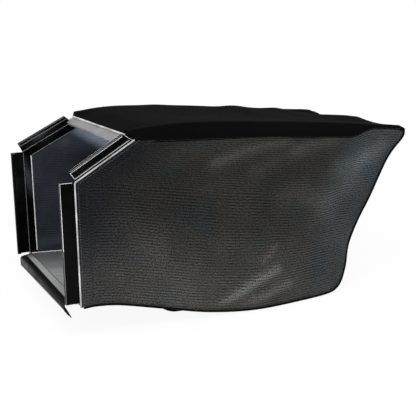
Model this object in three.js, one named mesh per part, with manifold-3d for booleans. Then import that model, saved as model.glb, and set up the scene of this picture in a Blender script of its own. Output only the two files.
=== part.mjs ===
// Grass collection bag for a walk-behind mower: sewn fabric panels with plastic clip strips round the mouth.
// Millimetres, +Z up. X runs from the mouth to the rear, and the bag is alike on both sides of Y = 0.
// Outlines are written from the foot of the mouth's front edge, and the whole bag is then moved so that
// its origin is the middle of the patch that it rests on.
import * as THREE from 'three'
import { mergeVertices } from 'three/addons/utils/BufferGeometryUtils.js'
import Module from 'manifold-3d'

const wasm = await Module()
wasm.setup()

// Mouth
const mouthHalfWidth = 189
const frontEdgeHeight = 226
const frontEdgeLean = 4
const shoulderRun = 113
const shoulderRise = 69
const frontCornerDrop = 7

// Bag body
const seamLength = 623
const seamRearDrop = 11
const seamDip = 21
const rearHalfWidth = 174
const taperStart = 250
const bottomReach = 586
const rearFootDrop = 40
const sideDrop = 67
const bellyDrop = 71
const bellyFlatStart = 215
const bellyFlatEnd = 490
const bellyFlatShare = 0.62
const skirtHeight = 28
const topEdgeRadius = 18
const topOverhang = 3
const topFrontDip = 8
const topFrontForward = 7
const topSag = 5
const sideBulge = 14
const rearBulge = 25

// Cloth, welts and tapes
const clothThickness = 1.4
const tapeThickness = 0.8
const hemWidth = 22
const tapeBelowSeam = 12
const tapeAboveSeam = 1.5
const weltRadius = 1.6
const seamGap = 0.3
const layGap = 0.5

// Clip strips and the piping bead that lies on them
const stripWall = 1.6
const flangeWidth = 15
const sideStripReach = 29
const shoulderStripReach = 23
const topStripReach = 20
const hookLeg = 7
const hookSlot = 5
const hookRadius = 1.4
const ridgeWidth = 3
const ridgeHeight = 1.2
const pipingRadius = 2.1
const stripEndGap = 2
const shoulderStripShort = 2
const shoulderStripSlant = 11
const topStripHalfLength = 158
const topStripSlope = 36

// Sill plate
const sillThickness = 2.2
const sillSideGap = 5
const sillReach = 28
const sillDepth = 110
const sillSlope = 2.2
const sillLip = 15
const sillRadius = 5
const sillCornerCut = 17

const clothGap = clothThickness + seamGap
const sillHalfWidth = mouthHalfWidth - sillSideGap
const shoulderFoot = new THREE.Vector2(-frontEdgeLean, frontEdgeHeight)
const shoulderTop = new THREE.Vector2(shoulderFoot.x + shoulderRun, shoulderFoot.y + shoulderRise)
const rearTop = new THREE.Vector2(shoulderTop.x + seamLength, shoulderTop.y - seamRearDrop)
const rearFoot = new THREE.Vector2(bottomReach, -rearFootDrop)

// Side outline, seen from the side: each curve runs through shares of its own run and rise.
function outlineCurve(shares, runStart, run, levelStart, rise) {
  return new THREE.SplineCurve(
    shares.map(([along, up]) => new THREE.Vector2(runStart + along * run, levelStart + up * rise)),
  )
}
const cornerDropShare = frontCornerDrop / sideDrop
const rearDropShare = rearFootDrop / sideDrop
const bottomEdge = outlineCurve(
  [[0, cornerDropShare], [0.05, 0.08], [0.13, 0.16], [0.27, 0.45], [0.44, 0.8],
    [0.63, 1], [0.83, 0.985], [0.94, 0.925], [0.98, 0.8], [1, rearDropShare]],
  0, bottomReach, 0, -sideDrop,
)
const rearEdge = outlineCurve(
  [[0, 0], [0.06, 0.1], [0.1, 0.245], [0.25, 0.4], [0.46, 0.56], [0.73, 0.79], [0.95, 0.92], [1, 1]],
  rearFoot.x, rearTop.x - rearFoot.x, rearFoot.y, rearTop.y - rearFoot.y,
)
const topSeam = outlineCurve(
  [[0, 0], [0.15, 0.05], [0.44, 0.33], [0.64, 0.71], [0.84, 1], [0.95, 0.72], [1, seamRearDrop / seamDip]],
  shoulderTop.x, seamLength, shoulderTop.y, -seamDip,
)
const skirtShape = outlineCurve(
  [[0, 0.62], [0.08, 0.86], [0.2, 1], [0.4, 0.96], [0.7, 0.9], [0.85, 0.74], [0.94, 0.45], [1, 0.15]],
  0, 1, 0, skirtHeight,
)

function smooth(from, to, value) {
  return THREE.MathUtils.smoothstep(value, Math.min(from, to), Math.max(from, to))
}

// The height of a curve where it passes a given X.
function heightAt(curve, x) {
  let low = 0
  let high = 1
  for (let step = 0; step < 24; step += 1) {
    const middle = (low + high) / 2
    if (curve.getPoint(middle).x < x) low = middle
    else high = middle
  }
  return curve.getPoint((low + high) / 2).y
}

// Half of the bag's width at its seams, and the soft outward bulge of a side between its seams.
function halfWidth(x) {
  return mouthHalfWidth + (rearHalfWidth - mouthHalfWidth) * smooth(taperStart, rearTop.x, x)
}
function lowEdge(x) {
  return x < bottomReach ? heightAt(bottomEdge, x) : heightAt(rearEdge, x)
}
function highEdge(x) {
  if (x >= shoulderTop.x) return heightAt(topSeam, x)
  return shoulderFoot.y + Math.max(0, x - shoulderFoot.x) * shoulderRise / shoulderRun
}
function sideY(x, z) {
  const low = lowEdge(x)
  const height = THREE.MathUtils.clamp((z - low) / (highEdge(x) - low), 0, 1)
  const length = THREE.MathUtils.clamp((x - shoulderFoot.x) / (rearTop.x - shoulderFoot.x), 0, 1)
  return halfWidth(x) + sideBulge * 4 * height * (1 - height) * Math.sin(Math.PI * length)
}

// Turns a mesh that is inside out the right way round, and merges its shared points.
function closed(geometry) {
  geometry.deleteAttribute('normal')
  geometry.deleteAttribute('uv')
  const merged = mergeVertices(geometry, 1e-4)
  const place = merged.getAttribute('position')
  const index = merged.getIndex()
  const corner = [new THREE.Vector3(), new THREE.Vector3(), new THREE.Vector3()]
  let volume = 0
  for (let i = 0; i < index.count; i += 3) {
    corner.forEach((point, k) => point.fromBufferAttribute(place, index.getX(i + k)))
    volume += corner[0].dot(corner[1].cross(corner[2]))
  }
  if (volume < 0) {
    for (let i = 0; i < index.count; i += 3) {
      const first = index.getX(i)
      index.setX(i, index.getX(i + 1))
      index.setX(i + 1, first)
    }
  }
  merged.computeVertexNormals()
  return merged
}

function fromPoints(points, faces) {
  const geometry = new THREE.BufferGeometry()
  geometry.setAttribute('position', new THREE.Float32BufferAttribute(points.flatMap((p) => [p.x, p.y, p.z]), 3))
  geometry.setIndex(faces)
  return closed(geometry)
}

// A sheet with thickness: two grids of the same size, joined round their rims.
function sheet(outer, inner) {
  const rows = outer.length
  const columns = outer[0].length
  const at = (layer, row, column) => (layer * rows + row) * columns + column
  const faces = []
  const quad = (a, b, c, d) => faces.push(a, b, c, a, c, d)
  for (let row = 0; row < rows - 1; row += 1) {
    for (let column = 0; column < columns - 1; column += 1) {
      quad(at(0, row, column), at(0, row + 1, column), at(0, row + 1, column + 1), at(0, row, column + 1))
      quad(at(1, row, column), at(1, row, column + 1), at(1, row + 1, column + 1), at(1, row + 1, column))
    }
    quad(at(0, row, 0), at(1, row, 0), at(1, row + 1, 0), at(0, row + 1, 0))
    quad(at(0, row, columns - 1), at(0, row + 1, columns - 1), at(1, row + 1, columns - 1), at(1, row, columns - 1))
  }
  for (let column = 0; column < columns - 1; column += 1) {
    quad(at(0, 0, column), at(0, 0, column + 1), at(1, 0, column + 1), at(1, 0, column))
    quad(at(0, rows - 1, column), at(1, rows - 1, column), at(1, rows - 1, column + 1), at(0, rows - 1, column + 1))
  }
  return fromPoints([...outer.flat(2), ...inner.flat(2)], faces)
}

// A closed tube through rings that all have the same number of points.
function tube(rings) {
  const count = rings[0].length
  const faces = []
  for (let ring = 0; ring < rings.length - 1; ring += 1) {
    for (let side = 0; side < count; side += 1) {
      const next = (side + 1) % count
      const here = ring * count
      const there = here + count
      faces.push(here + side, here + next, there + next, here + side, there + next, there + side)
    }
  }
  const last = (rings.length - 1) * count
  for (let side = 1; side < count - 1; side += 1) {
    faces.push(0, side + 1, side, last, last + side, last + side + 1)
  }
  return fromPoints(rings.flat(), faces)
}

// A round bead along a path: each station is its centre, and the two directions that span its section.
function bead(stations, radius, sides = 8) {
  return tube(stations.map(({ centre, first, second }) => {
    const ring = []
    for (let side = 0; side < sides; side += 1) {
      const angle = (side + 0.5) * 2 * Math.PI / sides
      ring.push(centre.clone()
        .addScaledVector(first, radius * Math.cos(angle))
        .addScaledVector(second, radius * Math.sin(angle)))
    }
    return ring
  }))
}

// An outline drawn in (forward, outward) and pushed along a third direction.
function extruded(outline, { origin, forward, outward, along }, length) {
  const geometry = new THREE.ExtrudeGeometry(new THREE.Shape(outline), { depth: length, bevelEnabled: false })
  geometry.applyMatrix4(new THREE.Matrix4().makeBasis(forward, outward, along).setPosition(origin))
  return closed(geometry)
}

function toSolid(geometry) {
  return new wasm.Manifold(new wasm.Mesh({
    numProp: 3,
    vertProperties: new Float32Array(geometry.getAttribute('position').array),
    triVerts: new Uint32Array(geometry.getIndex().array),
  }))
}
function cutAway(geometry, tool) {
  const result = toSolid(geometry).subtract(toSolid(tool)).getMesh()
  const cut = new THREE.BufferGeometry()
  cut.setAttribute('position', new THREE.BufferAttribute(new Float32Array(result.vertProperties), 3))
  cut.setIndex(new THREE.BufferAttribute(new Uint32Array(result.triVerts), 1))
  return closed(cut)
}

function range(count) {
  return Array.from({ length: count + 1 }, (_, step) => step / count)
}
function inPlane(point, y) {
  return new THREE.Vector3(point.x, y, point.y)
}

// Shares of the bag's length where the side and top panels have their stations, closer together at the mouth.
const seamStations = [0, 0.02, 0.04, 0.07, 0.11, ...range(12).map((share) => 0.16 + 0.84 * share)]

// Shares of a side's height where it has its rows: the shoulder's foot is one of them.
const shoulderShare = 0.63
const sideRows = [
  ...range(7).map((share) => share * shoulderShare),
  ...range(4).slice(1).map((share) => shoulderShare + share * (1 - shoulderShare)),
]

// Directions along the two straight edges of a side's mouth, and the line that halves the angle between them.
const frontUp = shoulderFoot.clone().normalize()
const frontForward = new THREE.Vector2(-frontUp.y, frontUp.x)
const shoulderUp = shoulderTop.clone().sub(shoulderFoot).normalize()
const shoulderForward = new THREE.Vector2(-shoulderUp.y, shoulderUp.x)
const frontLength = shoulderFoot.length()
const shoulderLength = shoulderTop.distanceTo(shoulderFoot)
const mitre = shoulderUp.clone().sub(frontUp).normalize()
const mitreStretch = 1 / Math.abs(mitre.cross(frontUp))

// The point at a distance back from the mouth edge, on the line that halves the shoulder's angle.
function mitrePoint(back) {
  return shoulderFoot.clone().addScaledVector(mitre, back * mitreStretch)
}

// Side panel: knitted mesh, a grid stretched between its four edges.
function sidePanel(sign) {
  const rows = sideRows
  const columns = seamStations
  const foot = bottomEdge.getPointAt(0)
  const front = (up) => (up <= shoulderShare
    ? foot.clone().lerp(shoulderFoot, up / shoulderShare)
    : shoulderFoot.clone().lerp(shoulderTop, (up - shoulderShare) / (1 - shoulderShare)))
  const outline = rows.map((up) => columns.map((along) => {
    const low = bottomEdge.getPointAt(along)
    const high = topSeam.getPointAt(along)
    const near = front(up)
    const far = rearEdge.getPointAt(up)
    const blend = (c00, c10, c01, c11, l, h, n, f) => (1 - up) * l + up * h + (1 - along) * n + along * f
      - (1 - up) * (1 - along) * c00 - (1 - up) * along * c10 - up * (1 - along) * c01 - up * along * c11
    const value = (key) => blend(
      foot[key], rearFoot[key], shoulderTop[key], rearTop[key], low[key], high[key], near[key], far[key],
    )
    return new THREE.Vector2(value('x'), value('y'))
  }))
  const onEdge = (row, column) => row === 0 || row === rows.length - 1 || column === 0 || column === columns.length - 1
  const layer = (depth) => outline.map((line, row) => line.map((point, column) => {
    const y = onEdge(row, column) ? halfWidth(point.x) : sideY(point.x, point.y)
    return inPlane(point, sign * (y - depth))
  }))
  return sheet(layer(0), layer(clothThickness))
}

// Navy band sewn over the side panel along its mouth edge.
function mouthHem(sign) {
  const stations = []
  const footLift = 0.8
  const lowFront = new THREE.Vector2(seamGap, bottomEdge.getPointAt(0).y + footLift)
  stations.push([lowFront, new THREE.Vector2(hemWidth, heightAt(bottomEdge, hemWidth) + footLift)])
  for (const share of range(6).slice(0, -1)) {
    const edge = frontUp.clone().multiplyScalar((frontLength - hemWidth) * share)
    stations.push([edge, edge.clone().addScaledVector(frontForward, -hemWidth)])
  }
  stations.push([shoulderFoot.clone(), mitrePoint(hemWidth)])
  for (const share of range(5).slice(1)) {
    const edge = shoulderFoot.clone().addScaledVector(shoulderUp, hemWidth + (shoulderLength - 2 * hemWidth) * share)
    stations.push([edge, edge.clone().addScaledVector(shoulderForward, -hemWidth)])
  }
  const reach = shoulderTop.x + hemWidth / shoulderUp.y
  const lastEdge = new THREE.Vector2(shoulderTop.x, shoulderTop.y - seamGap)
  const lastBack = new THREE.Vector2(reach, heightAt(topSeam, reach) - seamGap)
  const [slopeEdge, slopeBack] = stations.at(-1)
  for (const share of range(4).slice(1)) {
    stations.push([slopeEdge.clone().lerp(lastEdge, share), slopeBack.clone().lerp(lastBack, share)])
  }
  const layer = (lift) => stations.map(([edge, back]) => range(3).map((share) => {
    const point = edge.clone().lerp(back, share)
    return inPlane(point, sign * (sideY(point.x, point.y) + lift))
  }))
  return sheet(layer(layGap + tapeThickness), layer(layGap))
}

// Top panel: one sheet, turned down over both long edges with a round fold.
function topPanel() {
  const topRearRise = skirtShape.getPoint(1).y
  const section = (along, depth) => {
    const seam = topSeam.getPointAt(along)
    const skirt = along < 1 ? heightAt(skirtShape, along) : topRearRise
    const radius = THREE.MathUtils.clamp(skirt - 2 * seamGap, clothThickness + seamGap, topEdgeRadius)
    const half = halfWidth(seam.x)
    const fade = 1 - smooth(0, 0.08, along)
    const rearward = topOverhang * along
    const side = []
    side.push([half - depth, seamGap, 0])
    for (const turn of range(4)) {
      const angle = turn * Math.PI / 2
      const reach = half - radius + (radius - depth) * Math.cos(angle)
      side.push([reach, skirt - radius + (radius - depth) * Math.sin(angle), turn])
    }
    for (const share of [0.8, 0.5, 0.2]) {
      const sag = topSag * Math.sin(Math.PI * along) * (1 - share * share)
      side.push([(half - radius) * share, skirt - depth - topFrontDip * fade - sag, 1, topFrontForward * fade])
    }
    const points = side.map(([y, rise, turned, forward = 0]) => (
      new THREE.Vector3(seam.x + rearward * turned - forward, y, seam.y + rise)
    ))
    const mirrored = points.map((point) => new THREE.Vector3(point.x, -point.y, point.z)).reverse()
    return [...points, ...mirrored]
  }
  return sheet(
    seamStations.map((along) => section(along, 0)),
    seamStations.map((along) => section(along, clothThickness)),
  )
}

// Normal of a side outline curve, pointing out of the bag, and the shared normal where bottom and rear meet.
function outwardNormal(curve, share) {
  const tangent = curve.getTangentAt(share)
  return new THREE.Vector2(tangent.y, -tangent.x)
}
const bottomEnd = outwardNormal(bottomEdge, 1)
const rearStart = outwardNormal(rearEdge, 0)
const heelNormal = bottomEnd.clone().add(rearStart).normalize()
const heelStretch = 1 / heelNormal.dot(rearStart)

// Bottom panel: its long edges follow the sides, its middle hangs lower as a flat belly.
function bottomPanel() {
  const columns = [0, 0.31, 0.55, bellyFlatShare, 0.72, 0.82, 0.91, 1]
  const across = [...columns.slice(1).map((share) => -share).reverse(), ...columns]
  const frontZ = -sillThickness - clothGap
  const sillEndZ = frontZ - sillDepth * Math.tan(THREE.MathUtils.degToRad(sillSlope))
  const middle = (x, edge) => {
    if (x <= sillDepth) return frontZ + (sillEndZ - frontZ) * x / sillDepth
    if (x < bellyFlatStart) return sillEndZ + (-bellyDrop - sillEndZ) * smooth(sillDepth, bellyFlatStart, x)
    if (x <= bellyFlatEnd) return -bellyDrop
    return -bellyDrop + (edge + bellyDrop) * smooth(bellyFlatEnd, bottomReach, x) ** 0.8
  }
  const between = (from, to, shares) => shares.map((share) => from + (to - from) * share)
  const rowX = [
    ...between(0, sillDepth, [0, 0.5, 1]),
    ...between(sillDepth, bellyFlatStart, [0.24, 0.48, 0.74, 1]),
    ...between(bellyFlatStart, bellyFlatEnd, [0.24, 0.49, 0.75, 1]),
    ...between(bellyFlatEnd, bottomReach, [0.26, 0.5, 0.73, 0.87]),
  ]
  const rows = [...rowX.map((x) => ({ x, z: heightAt(bottomEdge, x) })), { x: rearFoot.x, z: rearFoot.y }]
  const slopeAt = (x) => {
    const step = 2
    const z = (place) => middle(place, heightAt(bottomEdge, place))
    return (z(Math.min(x + step, bottomReach)) - z(Math.max(x - step, 0))) / (2 * step)
  }
  const layer = (depth) => rows.map(({ x, z }, row) => across.map((share) => {
    const blend = 1 - smooth(bellyFlatShare, 1, Math.abs(share))
    const height = z + (middle(x, z) - z) * blend
    const last = row === rows.length - 1
    const lean = new THREE.Vector2(slopeAt(x) * blend, -1).normalize()
    const inward = last ? heelNormal.clone().multiplyScalar(heelStretch) : lean
    const flat = x === 0 || (x >= bellyFlatStart && x <= bellyFlatEnd) ? new THREE.Vector2(0, -1) : inward
    const pull = last ? 2 * seamGap : 0
    const point = new THREE.Vector2(x - pull, height - pull).addScaledVector(flat, -depth)
    return inPlane(point, share * (halfWidth(x) - clothGap))
  }))
  return sheet(layer(0), layer(clothThickness))
}

// Rear panel: bulges softly between the two sides and closes the bag up to the top panel.
function rearPanel() {
  const rearSkirt = skirtShape.getPoint(1).y
  const topZ = rearTop.y + rearSkirt - clothGap
  const rows = [...range(10).slice(0, -1), 0.99, 1]
  const columns = range(10).map((share) => share * 2 - 1)
  const layer = (depth) => rows.map((up) => {
    const edge = up === 1 ? new THREE.Vector2(rearTop.x, topZ) : rearEdge.getPointAt(up)
    let normal = outwardNormal(rearEdge, up)
    if (up === 0) normal = heelNormal.clone().multiplyScalar(heelStretch)
    if (up === 1) normal = new THREE.Vector2(1, 0)
    return columns.map((share) => {
      const swell = rearBulge * Math.sin(Math.PI * up) ** 1.35 * (1 - share * share)
      const point = edge.clone().addScaledVector(normal, swell - depth)
      const cornerRoom = up === 1 ? rearSkirt : 0
      return inPlane(point, share * (halfWidth(edge.x) - clothGap - cornerRoom))
    })
  })
  return sheet(layer(0), layer(clothThickness))
}

// Welt along the bottom and rear edges of a side, just outside the corner of the cloth.
function sideWelt(sign) {
  const stand = (weltRadius + seamGap) * Math.SQRT1_2
  const station = (point, normal) => ({
    centre: inPlane(point.clone().addScaledVector(normal, stand), sign * (halfWidth(point.x) + stand)),
    first: inPlane(normal, 0),
    second: new THREE.Vector3(0, 1, 0),
  })
  const stations = []
  const endShort = 0.006
  for (const share of seamStations.slice(0, -1)) {
    const along = Math.max(share, endShort)
    stations.push(station(bottomEdge.getPointAt(along), outwardNormal(bottomEdge, along)))
  }
  stations.push(station(rearFoot, heelNormal.clone().multiplyScalar(heelStretch)))
  for (const share of sideRows.slice(1)) {
    const along = Math.min(share, 1 - 2 * endShort)
    stations.push(station(rearEdge.getPointAt(along), outwardNormal(rearEdge, along)))
  }
  return bead(stations, weltRadius)
}

// Welt across the rear, tucked under the top panel's overhang.
function rearTopWelt() {
  const topZ = rearTop.y + skirtShape.getPoint(1).y - clothGap
  const reach = rearHalfWidth - 2 * weltRadius
  const centre = (y) => new THREE.Vector3(rearTop.x + seamGap + weltRadius, y, topZ - weltRadius)
  const first = new THREE.Vector3(1, 0, 0)
  const second = new THREE.Vector3(0, 0, 1)
  return bead([-reach, 0, reach].map((y) => ({ centre: centre(y), first, second })), weltRadius)
}

// Tape inside the top seam of a side.
function topTape(sign) {
  const stations = seamStations.map((share) => THREE.MathUtils.clamp(share, 0.012, 0.985))
  const layer = (depth) => stations.map((share) => {
    const seam = topSeam.getPointAt(share)
    return [-tapeBelowSeam, -tapeBelowSeam / 2, 0, tapeAboveSeam].map((rise) => (
      new THREE.Vector3(seam.x, sign * (sideY(seam.x, seam.y + Math.min(rise, 0)) - depth), seam.y + rise)
    ))
  })
  const depth = clothThickness + layGap
  return sheet(layer(depth), layer(depth + tapeThickness))
}

// Section of a clip strip: flange to the rear, ridge at its root, web forward, hook turned inward at the rim.
function stripSection(reach, bend = 0) {
  const root = stripWall * Math.tan(bend / 2)
  const depth = hookSlot + 2 * stripWall
  const back = new THREE.Vector2(-Math.cos(bend), -Math.sin(bend))
  const up = new THREE.Vector2(-Math.sin(bend), Math.cos(bend))
  const flangeTip = back.clone().multiplyScalar(flangeWidth)
  const flangeUnder = flangeTip.clone().addScaledVector(up, -stripWall)
  const arc = (x, y, from) => range(3).map((share) => {
    const angle = from - share * Math.PI / 2
    return new THREE.Vector2(x + hookRadius * Math.cos(angle), y + hookRadius * Math.sin(angle))
  })
  return [
    flangeTip,
    new THREE.Vector2(0, 0),
    ...arc(reach - hookRadius, -hookRadius, Math.PI / 2),
    ...arc(reach - hookRadius, hookRadius - depth, 0),
    new THREE.Vector2(reach - hookLeg, -depth),
    new THREE.Vector2(reach - hookLeg, stripWall - depth),
    new THREE.Vector2(reach - stripWall, stripWall - depth),
    new THREE.Vector2(reach - stripWall, -stripWall),
    new THREE.Vector2(root + ridgeWidth, -stripWall),
    new THREE.Vector2(root + ridgeWidth * 0.7, -stripWall - ridgeHeight),
    new THREE.Vector2(root + ridgeWidth * 0.3, -stripWall - ridgeHeight),
    new THREE.Vector2(root, -stripWall),
    flangeUnder,
  ]
}

// A prism that runs right across the bag, from an outline seen from the side.
function acrossBag(outline) {
  return extruded(outline, {
    origin: new THREE.Vector3(0, 2 * mouthHalfWidth, 0),
    forward: new THREE.Vector3(1, 0, 0),
    outward: new THREE.Vector3(0, 0, 1),
    along: new THREE.Vector3(0, -1, 0),
  }, 4 * mouthHalfWidth)
}

// A wedge that trims a flange at the shoulder's angle: it lies behind the mouth edge, towards the direction given.
function flangeWedge(towards, clearance) {
  const size = 3 * flangeWidth
  const start = shoulderFoot.clone().addScaledVector(towards, clearance)
  const end = start.clone().addScaledVector(mitre, size)
  const past = towards.clone().multiplyScalar(size)
  return acrossBag([start, end, end.clone().add(past), start.clone().add(past)])
}
const sideWedge = flangeWedge(frontUp, -stripEndGap / 2)
const shoulderWedge = flangeWedge(shoulderUp.clone().negate(), -stripEndGap / 2)

function sideChannel(sign) {
  const basis = {
    origin: inPlane(frontUp.clone().multiplyScalar(stripEndGap), sign * (mouthHalfWidth - clothGap)),
    forward: inPlane(frontForward, 0),
    outward: new THREE.Vector3(0, sign, 0),
    along: inPlane(frontUp, 0),
  }
  return cutAway(extruded(stripSection(sideStripReach), basis, frontLength), sideWedge)
}
function shoulderChannel(sign) {
  const basis = {
    origin: inPlane(shoulderFoot.clone().addScaledVector(shoulderUp, stripEndGap), sign * (mouthHalfWidth - clothGap)),
    forward: inPlane(shoulderForward, 0),
    outward: new THREE.Vector3(0, sign, 0),
    along: inPlane(shoulderUp, 0),
  }
  const length = shoulderLength - stripEndGap - shoulderStripShort
  const strip = cutAway(extruded(stripSection(shoulderStripReach), basis, length), shoulderWedge)
  const end = shoulderFoot.clone().addScaledVector(shoulderUp, stripEndGap + length)
  const rimEnd = end.clone().addScaledVector(shoulderUp, -shoulderStripSlant)
    .addScaledVector(shoulderForward, shoulderStripReach)
  const slant = rimEnd.clone().sub(end)
  const past = shoulderUp.clone().multiplyScalar(2 * shoulderStripSlant)
  const outline = [end, end.clone().addScaledVector(slant, 2), end.clone().addScaledVector(slant, 2).add(past),
    end.clone().add(past)]
  return cutAway(strip, acrossBag(outline))
}

// The top strip bends at its root: its flange lies flat under the top panel and its web slopes down and forward.
const topSlope = THREE.MathUtils.degToRad(topStripSlope)
const topForward = new THREE.Vector3(-Math.cos(topSlope), 0, -Math.sin(topSlope))
const topOutward = new THREE.Vector3(-Math.sin(topSlope), 0, Math.cos(topSlope))
const topRoot = new THREE.Vector3(
  shoulderTop.x - topFrontForward, 0,
  shoulderTop.y + skirtShape.getPoint(0).y - topFrontDip - clothGap,
)
function topChannel() {
  const origin = topRoot.clone().setY(topStripHalfLength)
  const along = new THREE.Vector3(0, -1, 0)
  const basis = { origin, forward: topForward, outward: topOutward, along }
  return extruded(stripSection(topStripReach, topSlope), basis, 2 * topStripHalfLength)
}

// Piping bead on the outer face of the strips, against the edge of the cloth.
const pipingStand = seamGap + pipingRadius
function mouthPiping(sign) {
  const y = sign * (mouthHalfWidth - clothGap + pipingStand)
  const outward = new THREE.Vector3(0, 1, 0)
  const start = frontUp.clone().multiplyScalar(-frontCornerDrop + seamGap)
    .addScaledVector(frontForward, pipingStand)
  const end = shoulderTop.clone().addScaledVector(shoulderForward, pipingStand)
  const bend = mitrePoint(-pipingStand)
  return bead([
    { centre: inPlane(start, y), first: inPlane(frontForward, 0), second: outward },
    { centre: inPlane(bend, y), first: inPlane(mitre, 0).multiplyScalar(-mitreStretch), second: outward },
    { centre: inPlane(end, y), first: inPlane(shoulderForward, 0), second: outward },
  ], pipingRadius)
}
function topPiping() {
  const centre = topRoot.clone().addScaledVector(topForward, pipingStand).addScaledVector(topOutward, pipingStand)
  const reach = [-topStripHalfLength, 0, topStripHalfLength]
  return bead(reach.map((y) => ({
    centre: centre.clone().setY(y), first: topForward, second: topOutward,
  })), pipingRadius)
}

// Sill plate: one folded strip of plastic, with its tail inside on the bottom panel and its lip turned down.
function sillPlate() {
  const fall = Math.tan(THREE.MathUtils.degToRad(sillSlope)) * sillDepth
  const inner = sillRadius - sillThickness
  const turn = (radius) => range(4).map((share) => {
    const angle = Math.PI / 2 + share * Math.PI / 2
    return new THREE.Vector2(
      -sillReach + sillRadius + radius * Math.cos(angle),
      -sillRadius + radius * Math.sin(angle),
    )
  })
  const outline = [
    new THREE.Vector2(sillDepth, -fall),
    new THREE.Vector2(0, 0),
    ...turn(sillRadius),
    new THREE.Vector2(-sillReach, -sillLip),
    new THREE.Vector2(-sillReach + sillThickness, -sillLip),
    ...turn(inner).reverse(),
    new THREE.Vector2(0, -sillThickness),
    new THREE.Vector2(sillDepth, -fall - sillThickness),
  ]
  const plate = extruded(outline, {
    origin: new THREE.Vector3(0, sillHalfWidth, 0),
    forward: new THREE.Vector3(1, 0, 0),
    outward: new THREE.Vector3(0, 0, 1),
    along: new THREE.Vector3(0, -1, 0),
  }, 2 * sillHalfWidth)
  return [-1, 1].reduce((rest, sign) => cutAway(rest, sillCorner(sign)), plate)
}

// The sill's front corners run inward to its lip, so that it clears the clip strips of the frame's two legs.
function sillCorner(sign) {
  const reach = 2 * sillReach
  const inward = sillCornerCut * reach / sillReach
  const outline = [
    new THREE.Vector2(0, sign * sillHalfWidth),
    new THREE.Vector2(-reach, sign * (sillHalfWidth - inward)),
    new THREE.Vector2(-reach, sign * (sillHalfWidth + reach)),
    new THREE.Vector2(0, sign * (sillHalfWidth + reach)),
  ]
  return extruded(outline, {
    origin: new THREE.Vector3(0, 0, -2 * sillLip),
    forward: new THREE.Vector3(1, 0, 0),
    outward: new THREE.Vector3(0, 1, 0),
    along: new THREE.Vector3(0, 0, 1),
  }, 4 * sillLip)
}

const finish = {
  coatedCloth: new THREE.MeshStandardMaterial({ color: 0x19191b, roughness: 0.8, metalness: 0 }),
  meshCloth: new THREE.MeshStandardMaterial({ color: 0x2f2f2d, roughness: 0.85, metalness: 0 }),
  navyBand: new THREE.MeshStandardMaterial({ color: 0x1c1d27, roughness: 0.8, metalness: 0 }),
  weltTape: new THREE.MeshStandardMaterial({ color: 0x121213, roughness: 0.7, metalness: 0 }),
  clipStrip: new THREE.MeshStandardMaterial({ color: 0x0c0c0d, roughness: 0.35, metalness: 0 }),
  greyPlate: new THREE.MeshStandardMaterial({ color: 0x6e6e6e, roughness: 0.4, metalness: 0 }),
  palePiping: new THREE.MeshStandardMaterial({ color: 0xc4c4c4, roughness: 0.5, metalness: 0 }),
}

const bag = new THREE.Group()
function add(name, geometry, material) {
  const mesh = new THREE.Mesh(geometry, material)
  mesh.name = name
  bag.add(mesh)
}

add('top_panel', topPanel(), finish.coatedCloth)
add('bottom_panel', bottomPanel(), finish.coatedCloth)
add('rear_panel', rearPanel(), finish.meshCloth)
for (const [side, sign] of [['right', -1], ['left', 1]]) {
  add(`${side}_side_panel`, sidePanel(sign), finish.meshCloth)
  add(`${side}_mouth_hem`, mouthHem(sign), finish.navyBand)
  add(`${side}_side_welt`, sideWelt(sign), finish.weltTape)
  add(`${side}_top_tape`, topTape(sign), finish.weltTape)
  add(`${side}_side_channel`, sideChannel(sign), finish.clipStrip)
  add(`${side}_shoulder_channel`, shoulderChannel(sign), finish.clipStrip)
  add(`${side}_mouth_piping`, mouthPiping(sign), finish.palePiping)
}
add('rear_top_welt', rearTopWelt(), finish.weltTape)
add('top_channel', topChannel(), finish.greyPlate)
add('top_piping', topPiping(), finish.palePiping)
add('sill_plate', sillPlate(), finish.greyPlate)

// The origin goes to the middle of the bag's length, on the flat of the belly.
const frontReach = frontEdgeLean + sideStripReach
const rearReach = rearTop.x + topOverhang
bag.position.set((frontReach - rearReach) / 2, 0, bellyDrop)

const model = new THREE.Group()
model.add(bag)
export default model
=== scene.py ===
import math

import bmesh
import bpy
import numpy as np
from mathutils import Matrix, Vector, noise


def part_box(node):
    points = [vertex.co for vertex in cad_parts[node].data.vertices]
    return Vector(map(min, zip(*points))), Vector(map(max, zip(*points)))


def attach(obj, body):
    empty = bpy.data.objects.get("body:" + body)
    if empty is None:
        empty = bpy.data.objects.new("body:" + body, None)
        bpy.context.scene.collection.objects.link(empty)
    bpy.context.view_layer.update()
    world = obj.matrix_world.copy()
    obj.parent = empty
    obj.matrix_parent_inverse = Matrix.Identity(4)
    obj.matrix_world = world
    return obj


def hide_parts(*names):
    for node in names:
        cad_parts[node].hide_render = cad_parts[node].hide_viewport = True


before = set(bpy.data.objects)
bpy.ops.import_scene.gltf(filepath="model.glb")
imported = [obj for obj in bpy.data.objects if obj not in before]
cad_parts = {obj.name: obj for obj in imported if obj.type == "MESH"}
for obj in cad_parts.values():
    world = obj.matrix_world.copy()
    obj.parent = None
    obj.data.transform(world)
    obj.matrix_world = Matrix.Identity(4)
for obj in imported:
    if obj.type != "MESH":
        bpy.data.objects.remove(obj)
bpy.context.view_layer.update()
print("frame loaded")

# The camera stands where the photograph was taken from.
shot = dict(place=(-0.7610, -1.5332, 0.5745), azimuth=-26.385, elevation=13.055, roll=0.226, lens=69.23)


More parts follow.
